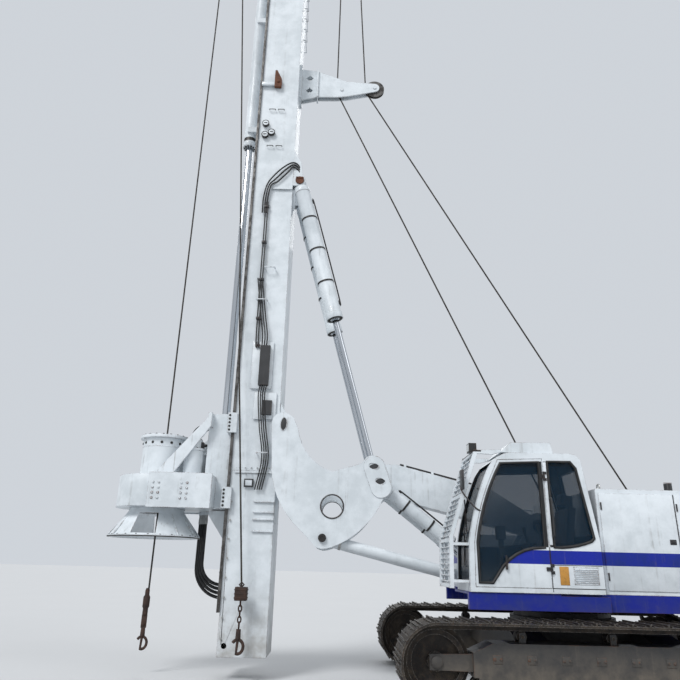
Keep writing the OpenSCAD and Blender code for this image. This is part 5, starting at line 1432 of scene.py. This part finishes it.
# %% Mast head
GUARD_R, CHEEK_BOLT_Z = 0.315, 20.98
CHEEK_LEFT, CHEEK_RIGHT = -0.325, 0.075
crown, guards = Shape(), Shape()
for y, s in ((CHEEK_LEFT, -1), (CHEEK_RIGHT, 1)):
    for wheel in (head, tail_wheel):
        crown.bolt_ring((wheel.x, y, wheel.z), (0, s, 0), 0.09, 8, 0.013)
    for x in row(mast_front + 0.08, 0.11, 6):
        crown.bolt((x, y, CHEEK_BOLT_Z), (0, s, 0), 0.012)
for wheel, ends in ((head, (60, 200)), (tail_wheel, (-20, 120))):
    for y in (0, AUX_ROPE_Y):
        for t in [math.radians(a) for a in ends]:
            x, z = wheel.x + GUARD_R * math.cos(t), wheel.z + GUARD_R * math.sin(t)
            guards.rod((x, y - 0.05, z), (x, y + 0.05, z), 0.008, sides=8)
crown.piece("crown_bolts", "mast", zinc)
guards.piece("rope_guards", "mast", dark_steel)

# %% [markdown]
# On top of the mast: a bolted cap plate, a short post and the red lamp that warns aircraft. The lamp is a
# spun dome on a plain bar.

# %% Mast cap
top_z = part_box("mast_top")[1].z
PLATE_T = 0.022
ON_TOP = (mast_mid, 0.30, top_z)
cap = Shape((0, 0, top_z))
cap.box((mast_front - 0.02, -0.42, -0.002), (mast_back + 0.02, 0.42, PLATE_T), 0.005)
for x in (mast_front + 0.02, mast_mid, mast_back - 0.02):
    for y in (-0.38, 0.20, 0.38):
        cap.bolt((x, y, PLATE_T), UP, 0.015)
cap.piece("mast_cap", "mast", mast_white)
post = Shape(ON_TOP).rod((0, 0, 0.02), (0, 0, 0.50), 0.016, sides=12)
post.lathe((0, 0, 0.50), UP, [(0.001, 0), (0.04, 0), (0.04, 0.025), (0.001, 0.03)], 20)
post.piece("lamp_post", "mast", zinc)
lamp_glass = Shape(ON_TOP).lathe((0, 0, 0.525), UP, [(0.034, 0), (0.036, 0.05), (0.028, 0.075),
                                                     (0.001, 0.08)], 20)
lamp_glass.piece("top_lamp", "mast", red_lens)

# %% [markdown]
# The stage is a pale floor and a pale sky of nearly the same tone. Three soft suns light it: a strong one
# over the camera's left shoulder, and two weak ones that open the shadows on the right and at the back. A
# sun lights a floor of any size alike, so no dark band shows at the horizon.

# %% Floor and light
floor_shape = Shape()
bmesh.ops.create_grid(floor_shape.bm, x_segments=1, y_segments=1, size=160)
f = Finish("floor_grey", Roughness=0.8)
f.set("Base Color", f.mix(f.noise(0.35, 4.0), (0.47, 0.48, 0.49, 1), (0.50, 0.51, 0.52, 1)))
floor_shape.piece("floor", None, f)
world = bpy.data.worlds.new("sky")
world.use_nodes = True
sky = world.node_tree.nodes["Background"]
sky.inputs["Color"].default_value = (0.88, 0.92, 0.97, 1)
sky.inputs["Strength"].default_value = 0.66
seen = world.node_tree.nodes.new("ShaderNodeBackground")
seen.inputs["Color"].default_value = (0.62, 0.655, 0.70, 1)
chosen = world.node_tree.nodes.new("ShaderNodeMixShader")
path = world.node_tree.nodes.new("ShaderNodeLightPath")
world.node_tree.links.new(path.outputs["Is Camera Ray"], chosen.inputs[0])
world.node_tree.links.new(sky.outputs[0], chosen.inputs[1])
world.node_tree.links.new(seen.outputs[0], chosen.inputs[2])
world.node_tree.links.new(chosen.outputs[0], world.node_tree.nodes["World Output"].inputs["Surface"])
bpy.context.scene.world = world


def sun(name, way, soft, strength):
    """A lamp so far off that it lights the whole floor alike."""
    data = bpy.data.lights.new(name, "SUN")
    data.angle = math.radians(soft)
    data.energy = strength
    made = bpy.data.objects.new(name, data)
    bpy.context.scene.collection.objects.link(made)
    made.matrix_world = Vector(way).to_track_quat("-Z", "Y").to_matrix().to_4x4()


sun("key", (0.55, 0.75, -0.95), 20, 2.1)
sun("fill", (-0.75, 0.45, -0.55), 40, 0.55)
sun("back", (0.1, -0.9, -0.75), 30, 0.7)
bpy.context.scene.view_settings.view_transform = "Standard"
